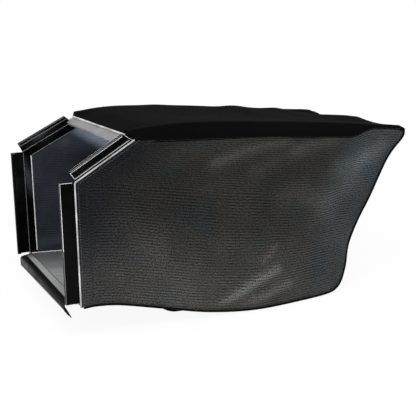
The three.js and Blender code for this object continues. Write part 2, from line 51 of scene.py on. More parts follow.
def makeCamera(values):
    data = bpy.data.cameras.new("camera")
    data.lens = values["lens"]
    data.sensor_width = 36.0
    camera = bpy.data.objects.new("camera", data)
    bpy.context.scene.collection.objects.link(camera)
    turn = Matrix.Rotation(math.radians(values["azimuth"]), 4, "Z")
    tip = Matrix.Rotation(math.radians(90.0 - values["elevation"]), 4, "X")
    roll = Matrix.Rotation(math.radians(values["roll"]), 4, "Z")
    camera.matrix_world = Matrix.Translation(values["place"]) @ turn @ tip @ roll
    bpy.context.scene.camera = camera


makeCamera(shot)
print("camera placed")

# The bag's own sizes, in metres, measured from the foot of the mouth's front edge: x to the rear, z up.
bag = dict(
    mouthHalfWidth=0.189, rearHalfWidth=0.174, taperStart=0.250, sideBulge=0.014, rearBulge=0.025,
    frontEdgeHeight=0.226, frontEdgeLean=0.004, shoulderRun=0.113, shoulderRise=0.069, frontCornerDrop=0.007,
    seamLength=0.623, seamRearDrop=0.011, seamDip=0.021, bottomReach=0.586, rearFootDrop=0.040,
    sideDrop=0.067, bellyDrop=0.071, bellyFlatStart=0.215, bellyFlatEnd=0.490, bellyFlatShare=0.62,
    skirtHeight=0.028, topEdgeRadius=0.018, topOverhang=0.003, topFrontDip=0.008, topFrontForward=0.007,
    topSag=0.005, sillReach=0.028, sillDepth=0.110, sillSlope=2.2, sillThickness=0.0022, sillHalfWidth=0.184,
    clothThickness=0.0014, clothGap=0.0017, hemWidth=0.022, shoulderShare=0.63,
)
sillLow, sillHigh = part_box("sill_plate")
mouthFoot = np.array((sillLow.x + bag["sillReach"], 0.0, sillHigh.z))


def splineThrough(points, stepsPerSpan=48):  # a smooth curve that passes through every point
    knots = np.array(points, float)
    last = len(knots) - 1
    t = np.linspace(0.0, 1.0, stepsPerSpan, endpoint=False)[:, None]
    rows = []
    for span in range(last):
        before, start, end, after = (knots[min(max(span + k, 0), last)] for k in (-1, 0, 1, 2))
        leaving, arriving = (end - before) / 2, (after - start) / 2
        third = 2 * start - 2 * end + leaving + arriving
        second = 3 * end - 3 * start - 2 * leaving - arriving
        rows.append(third * t**3 + second * t**2 + leaving * t + start)
    return np.vstack([*rows, knots[-1:]])


def outlineCurve(shares, start, run, level, rise):
    return splineThrough([(start + along * run, level + up * rise) for along, up in shares])


def pointAt(curve, share):  # the point at a share of a curve's length
    steps = np.linalg.norm(np.diff(curve, axis=0), axis=1)
    along = np.concatenate([[0.0], np.cumsum(steps)]) / steps.sum()
    return np.stack([np.interp(share, along, curve[:, axis]) for axis in (0, 1)], axis=-1)


def heightAt(curve, x):
    return np.interp(x, curve[:, 0], curve[:, 1])


def outwardAt(curve, share):  # the unit normal of an outline, pointing out of the bag
    step = 0.003
    ahead = pointAt(curve, np.minimum(share + step, 1.0)) - pointAt(curve, np.maximum(share - step, 0.0))
    ahead /= np.linalg.norm(ahead, axis=-1, keepdims=True)
    return np.stack([ahead[..., 1], -ahead[..., 0]], axis=-1)


def smoothStep(low, high, value):
    share = np.clip((value - low) / (high - low), 0.0, 1.0)
    return share * share * (3.0 - 2.0 * share)


shoulderFoot = np.array((-bag["frontEdgeLean"], bag["frontEdgeHeight"]))
shoulderTop = shoulderFoot + (bag["shoulderRun"], bag["shoulderRise"])
rearTop = shoulderTop + (bag["seamLength"], -bag["seamRearDrop"])
rearFoot = np.array((bag["bottomReach"], -bag["rearFootDrop"]))
bottomEdge = outlineCurve(
    [(0, bag["frontCornerDrop"] / bag["sideDrop"]), (0.05, 0.08), (0.13, 0.16), (0.27, 0.45), (0.44, 0.8),
     (0.63, 1), (0.83, 0.985), (0.94, 0.925), (0.98, 0.8), (1, bag["rearFootDrop"] / bag["sideDrop"])],
    0.0, bag["bottomReach"], 0.0, -bag["sideDrop"],
)
rearEdge = outlineCurve(
    [(0, 0), (0.06, 0.1), (0.1, 0.245), (0.25, 0.4), (0.46, 0.56), (0.73, 0.79), (0.95, 0.92), (1, 1)],
    rearFoot[0], rearTop[0] - rearFoot[0], rearFoot[1], rearTop[1] - rearFoot[1],
)
topSeam = outlineCurve(
    [(0, 0), (0.15, 0.05), (0.44, 0.33), (0.64, 0.71), (0.84, 1), (0.95, 0.72),
     (1, bag["seamRearDrop"] / bag["seamDip"])],
    shoulderTop[0], bag["seamLength"], shoulderTop[1], -bag["seamDip"],
)
skirtShape = outlineCurve(
    [(0, 0.62), (0.08, 0.86), (0.2, 1), (0.4, 0.96), (0.7, 0.9), (0.85, 0.74), (0.94, 0.45), (1, 0.15)],
    0.0, 1.0, 0.0, bag["skirtHeight"],
)
mouthLow = pointAt(bottomEdge, 0.0)
seamClimb = dict(start=0.775, end=0.885, skirtLeft=0.0040)


def skirtLoss(along):  # near the rear the mesh climbs and leaves only a narrow turned-down edge
    climb = smoothStep(seamClimb["start"], seamClimb["end"], along)
    return climb * np.maximum(0.0, heightAt(skirtShape, along) - seamClimb["skirtLeft"])


seamShares = np.linspace(0, 1, 200)  # the seam of the side and the top, with that climb
topSeam = pointAt(topSeam, seamShares) + np.stack([np.zeros_like(seamShares), skirtLoss(seamShares)], axis=-1)


def halfWidth(x):
    taper = smoothStep(bag["taperStart"], rearTop[0], x)
    return bag["mouthHalfWidth"] + (bag["rearHalfWidth"] - bag["mouthHalfWidth"]) * taper


def lowEdge(x):
    return np.where(x < bag["bottomReach"], heightAt(bottomEdge, x), heightAt(rearEdge, x))


def highEdge(x):
    slope = bag["shoulderRise"] / bag["shoulderRun"]
    shoulder = shoulderFoot[1] + np.maximum(0.0, x - shoulderFoot[0]) * slope
    return np.where(x >= shoulderTop[0], heightAt(topSeam, x), shoulder)


def sideY(x, z):  # the side's outer face bulges softly between its seams
    low = lowEdge(x)
    height = np.clip((z - low) / (highEdge(x) - low), 0.0, 1.0)
    length = np.clip((x - shoulderFoot[0]) / (rearTop[0] - shoulderFoot[0]), 0.0, 1.0)
    return halfWidth(x) + bag["sideBulge"] * 4 * height * (1 - height) * np.sin(np.pi * length)


# Short ways to build node trees
def addNode(tree, kind, inputs=None, **settings):
    node = tree.nodes.new(kind)
    for name, value in settings.items():
        setattr(node, name, value)
    for name, value in (inputs or {}).items():
        if isinstance(value, bpy.types.NodeSocket):
            tree.links.new(value, node.inputs[name])
        else:
            node.inputs[name].default_value = value
    return node


def newGroup(name, kind, inputs, outputs):
    tree = bpy.data.node_groups.new(name, kind)
    for label, socket, value in inputs:
        made = tree.interface.new_socket(label, in_out="INPUT", socket_type=socket)
        if value is not None:
            made.default_value = value
    for label, socket in outputs:
        tree.interface.new_socket(label, in_out="OUTPUT", socket_type=socket)
    return tree, tree.nodes.new("NodeGroupInput"), tree.nodes.new("NodeGroupOutput")


def mathNode(tree, operation, first, second=None, third=None, clamp=False):
    node = tree.nodes.new("ShaderNodeMath")
    node.operation = operation
    node.use_clamp = clamp
    for place, value in enumerate((first, second, third)):
        if isinstance(value, bpy.types.NodeSocket):
            tree.links.new(value, node.inputs[place])
        elif value is not None:
            node.inputs[place].default_value = value
    return node.outputs[0]


def mixColour(tree, share, first, second, blend="MIX"):
    node = tree.nodes.new("ShaderNodeMix")
    node.data_type = "RGBA"
    node.blend_type = blend
    for place, value in ((0, share), (6, first), (7, second)):
        if isinstance(value, bpy.types.NodeSocket):
            tree.links.new(value, node.inputs[place])
        else:
            node.inputs[place].default_value = value
    return node.outputs[2]


def mapRange(tree, value, low, high, toLow=0.0, toHigh=1.0):
    node = tree.nodes.new("ShaderNodeMapRange")
    node.interpolation_type = "SMOOTHSTEP"
    tree.links.new(value, node.inputs[0])
    for place, number in enumerate((low, high, toLow, toHigh), 1):
        node.inputs[place].default_value = number
    return node.outputs[0]


def fade(tree, value, span, size=1.0):  # span: start and end as shares of a size, then the two values there
    return mapRange(tree, value, span[0] * size, span[1] * size, *span[2:])


def multiply(tree, *factors):
    product = factors[0]
    for factor in factors[1:]:
        product = mathNode(tree, "MULTIPLY", product, factor)
    return product


def noiseTexture(tree, vector, scale, detail=2.0, roughness=0.5):
    texture = addNode(tree, "ShaderNodeTexNoise", {
        "Vector": vector, "Scale": scale, "Detail": detail, "Roughness": roughness})
    return texture.outputs[0]


def axesOf(tree, vector):
    return addNode(tree, "ShaderNodeSeparateXYZ", {0: vector}).outputs


def scaleColour(tree, colour, factor):
    scaled = addNode(tree, "ShaderNodeVectorMath", {0: colour}, operation="SCALE")
    tree.links.new(factor, scaled.inputs["Scale"])
    return scaled.outputs[0]


def grey(level, blue=0.0):  # a linear colour from a level between 0 and 255
    linear = (level / 255.0) ** 2.2
    return (linear * (1 - blue), linear * (1 - blue * 0.35), linear * (1 + blue), 1.0)


# A knit seen close up: ribbed rows of small loops, which fade here and there
knitRows = dict(driftScale=11.0, stagger=0.37, loopShare=0.3, patchFade=(0.34, 0.66, 0.12, 1.0),
                fleckScale=330.0, middle=0.46)


def makeKnitGroup(values):
    tree, given, result = newGroup(
        "knitRows", "ShaderNodeTree",
        [("Vector", "NodeSocketVector", None), ("Row Pitch", "NodeSocketFloat", 0.005),
         ("Loop Pitch", "NodeSocketFloat", 0.004), ("Waviness", "NodeSocketFloat", 0.002),
         ("Patch Scale", "NodeSocketFloat", 26.0), ("Fleck", "NodeSocketFloat", 0.4)],
        [("Rows", "NodeSocketFloat"), ("Height", "NodeSocketFloat")],
    )
    vector = given.outputs["Vector"]
    axes = axesOf(tree, vector)
    drift = noiseTexture(tree, vector, values["driftScale"], detail=3.0)
    shift = multiply(tree, mathNode(tree, "SUBTRACT", drift, 0.5), given.outputs["Waviness"])
    rowTurn = mathNode(tree, "DIVIDE", mathNode(tree, "ADD", axes[1], shift), given.outputs["Row Pitch"])
    rowWave = mathNode(tree, "SINE", multiply(tree, rowTurn, math.tau))
    stagger = multiply(tree, mathNode(tree, "FLOOR", rowTurn), values["stagger"])
    loop = mathNode(tree, "DIVIDE", axes[0], given.outputs["Loop Pitch"])
    loopWave = mathNode(tree, "SINE", multiply(tree, mathNode(tree, "ADD", loop, stagger), math.tau))
    loops = mathNode(tree, "MULTIPLY_ADD", loopWave, values["loopShare"], 1.0 - values["loopShare"])
    patch = noiseTexture(tree, vector, given.outputs["Patch Scale"], detail=5.0, roughness=0.7)
    strong = fade(tree, patch, values["patchFade"])
    fleck = noiseTexture(tree, vector, values["fleckScale"], roughness=0.7)
    spots = multiply(tree, mathNode(tree, "SUBTRACT", fleck, 0.5), given.outputs["Fleck"])
    dotted = multiply(tree, rowWave, multiply(tree, loops, strong))
    level = mathNode(tree, "MULTIPLY_ADD", dotted, values["middle"], values["middle"])
    tree.links.new(mathNode(tree, "ADD", level, spots), result.inputs["Rows"])
    tree.links.new(dotted, result.inputs["Height"])
    return tree


# Slow light and dark patches, as in cloth that has been folded away
mottlePatches = dict(detail=4.0, roughness=0.6, blend=(0.32, 0.68))


def makeMottleGroup(values):
    tree, given, result = newGroup(
        "clothMottle", "ShaderNodeTree",
        [("Vector", "NodeSocketVector", None), ("Scale", "NodeSocketFloat", 9.0),
         ("Low", "NodeSocketFloat", 0.8), ("High", "NodeSocketFloat", 1.2)],
        [("Value", "NodeSocketFloat")],
    )
    patches = noiseTexture(tree, given.outputs["Vector"], given.outputs["Scale"], values["detail"],
                           values["roughness"])
    share = fade(tree, patches, values["blend"])
    span = mathNode(tree, "SUBTRACT", given.outputs["High"], given.outputs["Low"])
    value = mathNode(tree, "MULTIPLY_ADD", share, span, given.outputs["Low"])
    tree.links.new(value, result.inputs["Value"])
    return tree


# Plain woven cloth: fine warp and weft threads
def makeWeaveGroup():
    tree, given, result = newGroup(
        "plainWeave", "ShaderNodeTree",
        [("Vector", "NodeSocketVector", None), ("Thread Pitch", "NodeSocketFloat", 0.0012)],
        [("Height", "NodeSocketFloat")],
    )
    waves = []
    for axis in axesOf(tree, given.outputs["Vector"])[:2]:
        turn = mathNode(tree, "DIVIDE", axis, given.outputs["Thread Pitch"])
        waves.append(mathNode(tree, "SINE", multiply(tree, turn, math.tau)))
    crossing = multiply(tree, *waves)
    tree.links.new(mathNode(tree, "MULTIPLY_ADD", crossing, 0.5, 0.5), result.inputs["Height"])
    return tree


# Extruded plastic: a faint grain, with slow patches that are glossier and darker
plasticPatches = dict(scale=22.0, detail=5.0, blend=(0.3, 0.7))


def makePlasticGroup(values):
    tree, given, result = newGroup(
        "drawnPlastic", "ShaderNodeTree",
        [("Vector", "NodeSocketVector", None), ("Grain Scale", "NodeSocketFloat", 900.0),
         ("Roughness Low", "NodeSocketFloat", 0.25), ("Roughness High", "NodeSocketFloat", 0.4)],
        [("Roughness", "NodeSocketFloat"), ("Tone", "NodeSocketFloat"), ("Height", "NodeSocketFloat")],
    )
    vector = given.outputs["Vector"]
    grain = noiseTexture(tree, vector, given.outputs["Grain Scale"])
    patches = noiseTexture(tree, vector, values["scale"], values["detail"])
    share = fade(tree, patches, values["blend"])
    span = mathNode(tree, "SUBTRACT", given.outputs["Roughness High"], given.outputs["Roughness Low"])
    rough = mathNode(tree, "MULTIPLY_ADD", share, span, given.outputs["Roughness Low"])
    tree.links.new(rough, result.inputs["Roughness"])
    tree.links.new(share, result.inputs["Tone"])
    tree.links.new(grain, result.inputs["Height"])
    return tree


knitGroup = makeKnitGroup(knitRows)
mottleGroup = makeMottleGroup(mottlePatches)
weaveGroup = makeWeaveGroup()
plasticGroup = makePlasticGroup(plasticPatches)


def startMaterial(name, specular, roughness=0.8, sheen=0.0):
    material = bpy.data.materials.new(name)
    material.use_nodes = True
    tree = material.node_tree
    shader = tree.nodes["Principled BSDF"]
    shader.inputs["Specular IOR Level"].default_value = specular
    shader.inputs["Roughness"].default_value = roughness
    shader.inputs["Sheen Weight"].default_value = sheen
    shader.inputs["Sheen Roughness"].default_value = 0.45
    return material, tree, shader


def useGroup(tree, group, inputs):
    node = tree.nodes.new("ShaderNodeGroup")
    node.node_tree = group
    for name, value in inputs.items():
        if isinstance(value, bpy.types.NodeSocket):
            tree.links.new(value, node.inputs[name])
        else:
            node.inputs[name].default_value = value
    return node


def bumpInto(tree, shader, height, relief):  # relief: how strong, and how deep in metres
    bump = addNode(tree, "ShaderNodeBump", {"Height": height, "Strength": relief[0], "Distance": relief[1]})
    tree.links.new(bump.outputs[0], shader.inputs["Normal"])


def clothVector(tree):  # the cloth's own flat map, in metres
    return addNode(tree, "ShaderNodeUVMap", uv_map="clothMap").outputs[0]


def useMottle(tree, vector, look):  # look: the patches' scale, and their lowest and highest value
    return useGroup(tree, mottleGroup, {
        "Vector": vector, "Scale": look[0], "Low": look[1], "High": look[2]}).outputs[0]


def useKnit(tree, vector, patchScale, fleck):
    return useGroup(tree, knitGroup, {
        "Vector": vector, "Row Pitch": knit["rowPitch"], "Loop Pitch": knit["loopPitch"],
        "Waviness": knit["waviness"], "Patch Scale": patchScale, "Fleck": fleck})


# Charcoal knitted mesh of the sides and the rear. Fades are shares of the panel's height or length.
knit = dict(
    rowPitch=0.0054, loopPitch=0.0046, waviness=0.006, patchScale=26.0, fleck=2.2, dark=11.5, light=54,
    panelHeight=0.355, panelLength=0.66, specular=0.06, sheen=0.03, mottle=(7.0, 0.80, 1.20),
    paintedLowLight=2.85, lowFade=(0.58, 0.02), lowFrontFade=(0.58, 0.90, 1.0, 0.45),
    highFade=(0.80, 0.98, 1.0, 1.15),
    foldLight=2.5, coolTint=(0.80, 0.92, 1.02, 1), coolScale=9.0, coolFade=(0.52, 0.66),
    rearSheenTint=(1.85, 2.15, 2.45, 1), rearFade=(0.70, 0.95), rearRaised=(0.15, 0.62, 0.35, 1.0),
    mouthNavyAndShade=(0.40, 0.43, 0.54, 1), mouthReach=(0.150, 0.010, 0.0, 0.95),
    mouthRaised=(0.12, 0.36, 0.45, 1.0), relief=(0.3, 0.0008),
)


def makeKnit(values):
    material, tree, shader = startMaterial(
        "knittedMesh", specular=values["specular"], roughness=0.9, sheen=values["sheen"])
    vector = clothVector(tree)
    axes = axesOf(tree, vector)
    length, height = values["panelLength"], values["panelHeight"]
    rows = useKnit(tree, vector, values["patchScale"], values["fleck"])
    share = mathNode(tree, "MAXIMUM", rows.outputs["Rows"], 0.0)
    colour = mixColour(tree, share, grey(values["dark"]), grey(values["light"], -0.05))
    # Painted light: the lower part is made brighter, less so towards the rear.
    low = multiply(tree, fade(tree, axes[1], values["lowFade"], height),
                   fade(tree, axes[0], values["lowFrontFade"], length))
    paintedLowLight = mathNode(tree, "MULTIPLY_ADD", low, values["paintedLowLight"] - 1.0, 1.0)
    # Painted light: the highest rows are made a little brighter.
    high = fade(tree, axes[1], values["highFade"], height)
    # Painted highlight: fold crests, from the foldCrest mask, are made lighter.
    fold = addNode(tree, "ShaderNodeAttribute", attribute_name="foldCrest").outputs["Fac"]
    crestHighlight = mathNode(tree, "MULTIPLY_ADD", fold, values["foldLight"] - 1.0, 1.0)
    level = multiply(tree, paintedLowLight, high, useMottle(tree, vector, values["mottle"]), crestHighlight)
    bright = scaleColour(tree, colour, level)
    cool = fade(tree, noiseTexture(tree, vector, values["coolScale"], detail=3.0), values["coolFade"])
    cooled = mixColour(tree, cool, bright, values["coolTint"], blend="MULTIPLY")
    # Painted sheen: near the rear edge, and more so high up, the mesh is made brighter and bluer.
    rear = multiply(tree, fade(tree, axes[0], values["rearFade"], length),
                    fade(tree, axes[1], values["rearRaised"], height))
    rearSheened = mixColour(tree, rear, cooled, values["rearSheenTint"], blend="MULTIPLY")
    # Near the mouth, and more so high up, the mesh darkens to navy: on the mouth band this is its own navy,
    # further back it is painted shade.
    mouth = multiply(tree, fade(tree, axes[0], values["mouthReach"]),
                     fade(tree, axes[1], values["mouthRaised"], height))
    final = mixColour(tree, mouth, rearSheened, values["mouthNavyAndShade"], blend="MULTIPLY")
    tree.links.new(final, shader.inputs["Base Color"])
    bumpInto(tree, shader, rows.outputs["Height"], values["relief"])
    return material


# Coated cloth of the top and the bottom, and the linings that show inside
coated = dict(level=17, threadPitch=0.0016, roughness=0.62, mottle=(5.0, 0.85, 1.2), relief=(0.25, 0.0006))


def makeCoated(name, level, blue, values, specular=0.008):
    material, tree, shader = startMaterial(name, specular=specular, roughness=values["roughness"])
    vector = clothVector(tree)
    weave = useGroup(tree, weaveGroup, {"Vector": vector, "Thread Pitch": values["threadPitch"]})
    colour = scaleColour(tree, grey(level, blue)[:3], useMottle(tree, vector, values["mottle"]))
    tree.links.new(colour, shader.inputs["Base Color"])
    bumpInto(tree, shader, weave.outputs["Height"], values["relief"])
    return material


# The navy inner face of the mesh, where its rows show faintly. Painted light makes it paler over its upper
# part and in a band high up near the mouth, which climbs with its distance from the mouth. It is also paler
# in a narrow strip at its foot.
lining = dict(
    dark=(32, 0.14), light=(52, 0.18), patchScale=18.0, fleck=0.9, mottle=(8.0, 0.75, 1.3), pale=12.0,
    wideFade=(0.58, 0.80, 0.0, 0.10), bandClimb=0.45, bandFade=(0.865, 0.945),
    bandStart=(0.020, 0.065, 0.12, 1.0), bandEnd=(0.30, 0.15, 0.10, 1.0), footFade=(0.050, 0.025, 0.0, 0.07),
    relief=(0.2, 0.0006),
)


def makeLining(values):
    material, tree, shader = startMaterial("navyLining", specular=0.03, roughness=0.8)
    vector = clothVector(tree)
    axes = axesOf(tree, vector)
    height = knit["panelHeight"]
    rows = useKnit(tree, vector, values["patchScale"], values["fleck"])
    share = mathNode(tree, "MAXIMUM", rows.outputs["Rows"], 0.0)
    colour = mixColour(tree, share, grey(*values["dark"]), grey(*values["light"]))
    # Painted light from the mouth: paler high up and in the climbing band.
    wide = fade(tree, axes[1], values["wideFade"], height)
    climbing = mathNode(tree, "MULTIPLY_ADD", axes[0], values["bandClimb"], axes[1])
    ends = multiply(tree, fade(tree, axes[0], values["bandStart"]), fade(tree, axes[0], values["bandEnd"]))
    band = multiply(tree, fade(tree, climbing, values["bandFade"], height), ends)
    foot = fade(tree, axes[1], values["footFade"])
    pale = mathNode(tree, "ADD", mathNode(tree, "ADD", wide, band), foot)
    level = mathNode(tree, "MULTIPLY_ADD", pale, values["pale"] - 1.0, 1.0)
    bright = scaleColour(tree, colour, multiply(tree, useMottle(tree, vector, values["mottle"]), level))
    tree.links.new(bright, shader.inputs["Base Color"])
    bumpInto(tree, shader, rows.outputs["Height"], values["relief"])
    return material


# Plastic of the strips and the piping, and of the pale beads that are painted highlights on the strips' edges
plasticRelief = (0.08, 0.0003)


def makePlastic(name, dark, light, specular, rough, grain=900.0):
    material, tree, shader = startMaterial(name, specular=specular)
    vector = addNode(tree, "ShaderNodeTexCoord").outputs["Object"]
    drawn = useGroup(tree, plasticGroup, {"Vector": vector, "Grain Scale": grain,
                                          "Roughness Low": rough[0], "Roughness High": rough[1]})
    colour = mixColour(tree, drawn.outputs["Tone"], grey(dark), grey(light))
    tree.links.new(colour, shader.inputs["Base Color"])
    tree.links.new(drawn.outputs["Roughness"], shader.inputs["Roughness"])
    bumpInto(tree, shader, drawn.outputs["Height"], plasticRelief)
    return material


# The sill's turned-down lip hangs lower towards its left end, below a depth under the sill's top.
lipDroop = dict(depth=0.0050, above=0.010, blend=(-0.002, 0.003), start=-0.10, end=0.17)


# The sill is satin grey on top. Painted shade darkens it towards its far end and makes it nearly black where
# it turns down; it is paler again on its lower edge. In front of its seam line the grey is even, but for
# painted shade at its far end.
sillFinish = dict(
    top=(130, 160), strip=145, stripEndShade=70, noseShade=21, lowerEdge=100, streaks=(3.0, 240.0, 3.0),
    streakBlend=(0.3, 0.7), streakDetail=3.0, relief=(0.06, 0.0003),
    farStart=-0.04, farEnd=0.85, farShade=0.30, stripShadeFade=(0.70, 0.98), noseBack=0.0147, noseTurn=-0.012,
    noseBlur=0.0015, seamBlur=0.001, edgeHeight=0.0024, edgeBlur=0.0006, gloss=0.25, noseGloss=0.06,
    roughness=(0.34, 0.48), grain=800.0,
)


def makeSillPlastic(values):
    material, tree, shader = startMaterial("greySill", specular=values["gloss"])
    vector = addNode(tree, "ShaderNodeTexCoord").outputs["Object"]
    axes = axesOf(tree, vector)
    halfLength = bag["sillHalfWidth"]
    drawn = useGroup(tree, plasticGroup, {
        "Vector": vector, "Grain Scale": values["grain"], "Roughness Low": values["roughness"][0],
        "Roughness High": values["roughness"][1]})
    stretched = addNode(tree, "ShaderNodeVectorMath", {0: vector, 1: values["streaks"]}, operation="MULTIPLY")
    streakNoise = noiseTexture(tree, stretched.outputs[0], 1.0, values["streakDetail"])
    streaks = fade(tree, streakNoise, values["streakBlend"])
    top = mixColour(tree, streaks, *(grey(level) for level in values["top"]))
    # Painted shade: the top darkens towards the far end.
    far = mapRange(tree, axes[1], values["farStart"], halfLength * values["farEnd"], 1.0, values["farShade"])
    # Painted shade at the far end of the strip in front of the seam.
    stripEndShade = fade(tree, axes[1], values["stripShadeFade"], halfLength)
    frontStrip = mixColour(tree, stripEndShade, grey(values["strip"]), grey(values["stripEndShade"]))
    seamX = float(mouthFoot[0])
    front = mapRange(tree, axes[0], seamX + values["seamBlur"], seamX - values["seamBlur"])
    face = mixColour(tree, front, scaleColour(tree, top, far), frontStrip)
    noseX = seamX - values["noseBack"]
    slanted = mathNode(tree, "MULTIPLY_ADD", axes[1], values["noseTurn"], axes[0])
    turnedDown = mapRange(tree, slanted, noseX + values["noseBlur"], noseX - values["noseBlur"])
    # Painted shade: nearly black where the lip turns down.
    dark = mixColour(tree, turnedDown, face, grey(values["noseShade"]))
    edgeZ = float(sillLow.z) + values["edgeHeight"]
    hanging = mapRange(tree, axes[1], lipDroop["start"], lipDroop["end"], 0.0, lipDroop["depth"])
    height = mathNode(tree, "ADD", axes[2], hanging)
    edge = mapRange(tree, height, edgeZ + values["edgeBlur"], edgeZ - values["edgeBlur"])
    gloss = mapRange(tree, turnedDown, 0.0, 1.0, values["gloss"], values["noseGloss"])
    tree.links.new(gloss, shader.inputs["Specular IOR Level"])
    tree.links.new(mixColour(tree, edge, dark, grey(values["lowerEdge"])), shader.inputs["Base Color"])
    tree.links.new(drawn.outputs["Roughness"], shader.inputs["Roughness"])
    bumpInto(tree, shader, drawn.outputs["Height"], values["relief"])
    return material


# Sewing thread, with finer and darker strands
thread = dict(specular=0.2, roughness=0.6, sheen=0.2, twistScale=1500.0, twistBlend=(0.35, 0.65),
              darkShare=0.8, relief=(0.3, 0.0002))


def makeThread(name, level, values, blue=0.0):
    material, tree, shader = startMaterial(name, values["specular"], values["roughness"], values["sheen"])
    vector = addNode(tree, "ShaderNodeTexCoord").outputs["Object"]
    twist = noiseTexture(tree, vector, values["twistScale"])
    strand = fade(tree, twist, values["twistBlend"])
    colour = mixColour(tree, strand, grey(level * values["darkShare"], blue), grey(level, blue))
    tree.links.new(colour, shader.inputs["Base Color"])
    bumpInto(tree, shader, twist, values["relief"])
    return material


finish = dict(
    knit=makeKnit(knit),
    lining=makeLining(lining),
    coated=makeCoated("coatedCloth", coated["level"], 0.03, coated),
    # Inner face of the coated cloth: a paler, bluer level as painted light from the mouth.
    coatedInside=makeCoated("coatedInside", 40, 0.16, coated),
    navy=makeCoated("navyBand", 27, 0.12, dict(coated, threadPitch=0.0022), specular=0.03),
    welt=makeCoated("weltTape", 20, 0.02, coated, specular=0.03),
    strip=makePlastic("blackStrip", 7, 13, 0.05, (0.2, 0.35)),
    # Grey plastic, painted paler for the reflection of light from above on its sloped face.
    topStrip=makePlastic("greyTopStripWithReflection", 119, 134, 0.2, (0.35, 0.45)),
    sill=makeSillPlastic(sillFinish),
    piping=makePlastic("palePiping", 140, 205, 0.3, (0.4, 0.55), grain=500.0),
    paleEdgeHighlight=makePlastic("paleEdgeHighlight", 190, 232, 0.4, (0.25, 0.35)),
    rootEdgeHighlight=makePlastic("rootEdgeHighlight", 130, 160, 0.3, (0.3, 0.4)),
    dimEdgeHighlight=makePlastic("dimEdgeHighlight", 84, 110, 0.4, (0.25, 0.35)),
    darkThread=makeThread("darkThread", 30, thread),
    bandThread=makeThread("bandThread", 34, thread, blue=0.10),
    paleThread=makeThread("paleThread", 104, thread, blue=0.12),
)
print("materials made")


# Meshes
def newMeshObject(name, points, faces, materials=()):
    mesh = bpy.data.meshes.new(name)
    mesh.from_pydata([tuple(p) for p in points], [], faces)
    for material in materials:
        mesh.materials.append(material)
    piece = bpy.data.objects.new(name, mesh)
    bpy.context.scene.collection.objects.link(piece)
    return piece


bagMiddle = np.array((0.34, 0.0, 0.11))


# A cloth panel from a grid of points in the bag's own coordinates, with a flat map in metres
def clothPanel(name, grid, flat, outside, inside, thickness=bag["clothThickness"]):
    rows, columns = grid.shape[:2]
    middle = grid.reshape(-1, 3).mean(axis=0)
    cross = np.cross(grid[1:, :-1] - grid[:-1, :-1], grid[:-1, 1:] - grid[:-1, :-1])
    flip = np.sum(cross.reshape(-1, 3).mean(axis=0) * (middle - bagMiddle)) < 0
    faces = []
    for row in range(rows - 1):
        for column in range(columns - 1):
            corner = row * columns + column
            face = (corner, corner + columns, corner + columns + 1, corner + 1)
            faces.append(face[::-1] if flip else face)
    piece = newMeshObject(name, grid.reshape(-1, 3) + mouthFoot, faces, (outside, inside))
    uv = piece.data.uv_layers.new(name="clothMap")
    flatPoints = flat.reshape(-1, 2)
    corners = np.zeros(len(piece.data.loops), np.int32)
    piece.data.loops.foreach_get("vertex_index", corners)
    uv.data.foreach_set("uv", flatPoints[corners].astype(np.float32).ravel())
    piece.data.polygons.foreach_set("use_smooth", [True] * len(faces))
    wall = piece.modifiers.new("wall", "SOLIDIFY")
    wall.thickness = thickness
    wall.offset = -1.0
    wall.use_rim = True
    wall.material_offset = 1
    wall.material_offset_rim = 0
    return piece


def flatArea(grid):
    first = np.linalg.norm(np.cross(grid[1:, :-1] - grid[:-1, :-1], grid[:-1, 1:] - grid[:-1, :-1]), axis=-1)
    second = np.linalg.norm(np.cross(grid[:-1, 1:] - grid[1:, 1:], grid[1:, :-1] - grid[1:, 1:]), axis=-1)
    return float((first + second).sum() / 2)


# How far creases lift the cloth. Each has its points (x, z), its widths above and below its crest, and its
# height.
def creaseLift(x, z, creases):
    lift = np.zeros_like(x)
    for points, above, below, height in creases:
        nearest = np.full_like(x, 9.0)
        for (startX, startZ), (endX, endZ) in zip(points[:-1], points[1:]):
            run, rise = endX - startX, endZ - startZ
            length = math.hypot(run, rise)
            share = np.clip(((x - startX) * run + (z - startZ) * rise) / length**2, 0.0, 1.0)
            offX, offZ = x - (startX + share * run), z - (startZ + share * rise)
            side = np.where(run * offZ - rise * offX > 0, above, below)
            nearest = np.minimum(nearest, np.hypot(offX, offZ) / side)
        lift += height * np.exp(-nearest**2)
    return lift


# A mask of the fold crests, which the knit's material uses for a painted highlight
def markCrests(piece, lift, height):
    mask = piece.data.attributes.new("foldCrest", "FLOAT", "POINT")
    mask.data.foreach_set("value", np.clip(lift / height, 0.0, 1.0).astype(np.float32).ravel())


def slowWaves(x, z, seed, size, height):  # gentle unevenness from smooth noise
    values = [noise.noise(Vector((px / size, pz / size, seed))) for px, pz in zip(x.ravel(), z.ravel())]
    return height * np.array(values).reshape(x.shape)


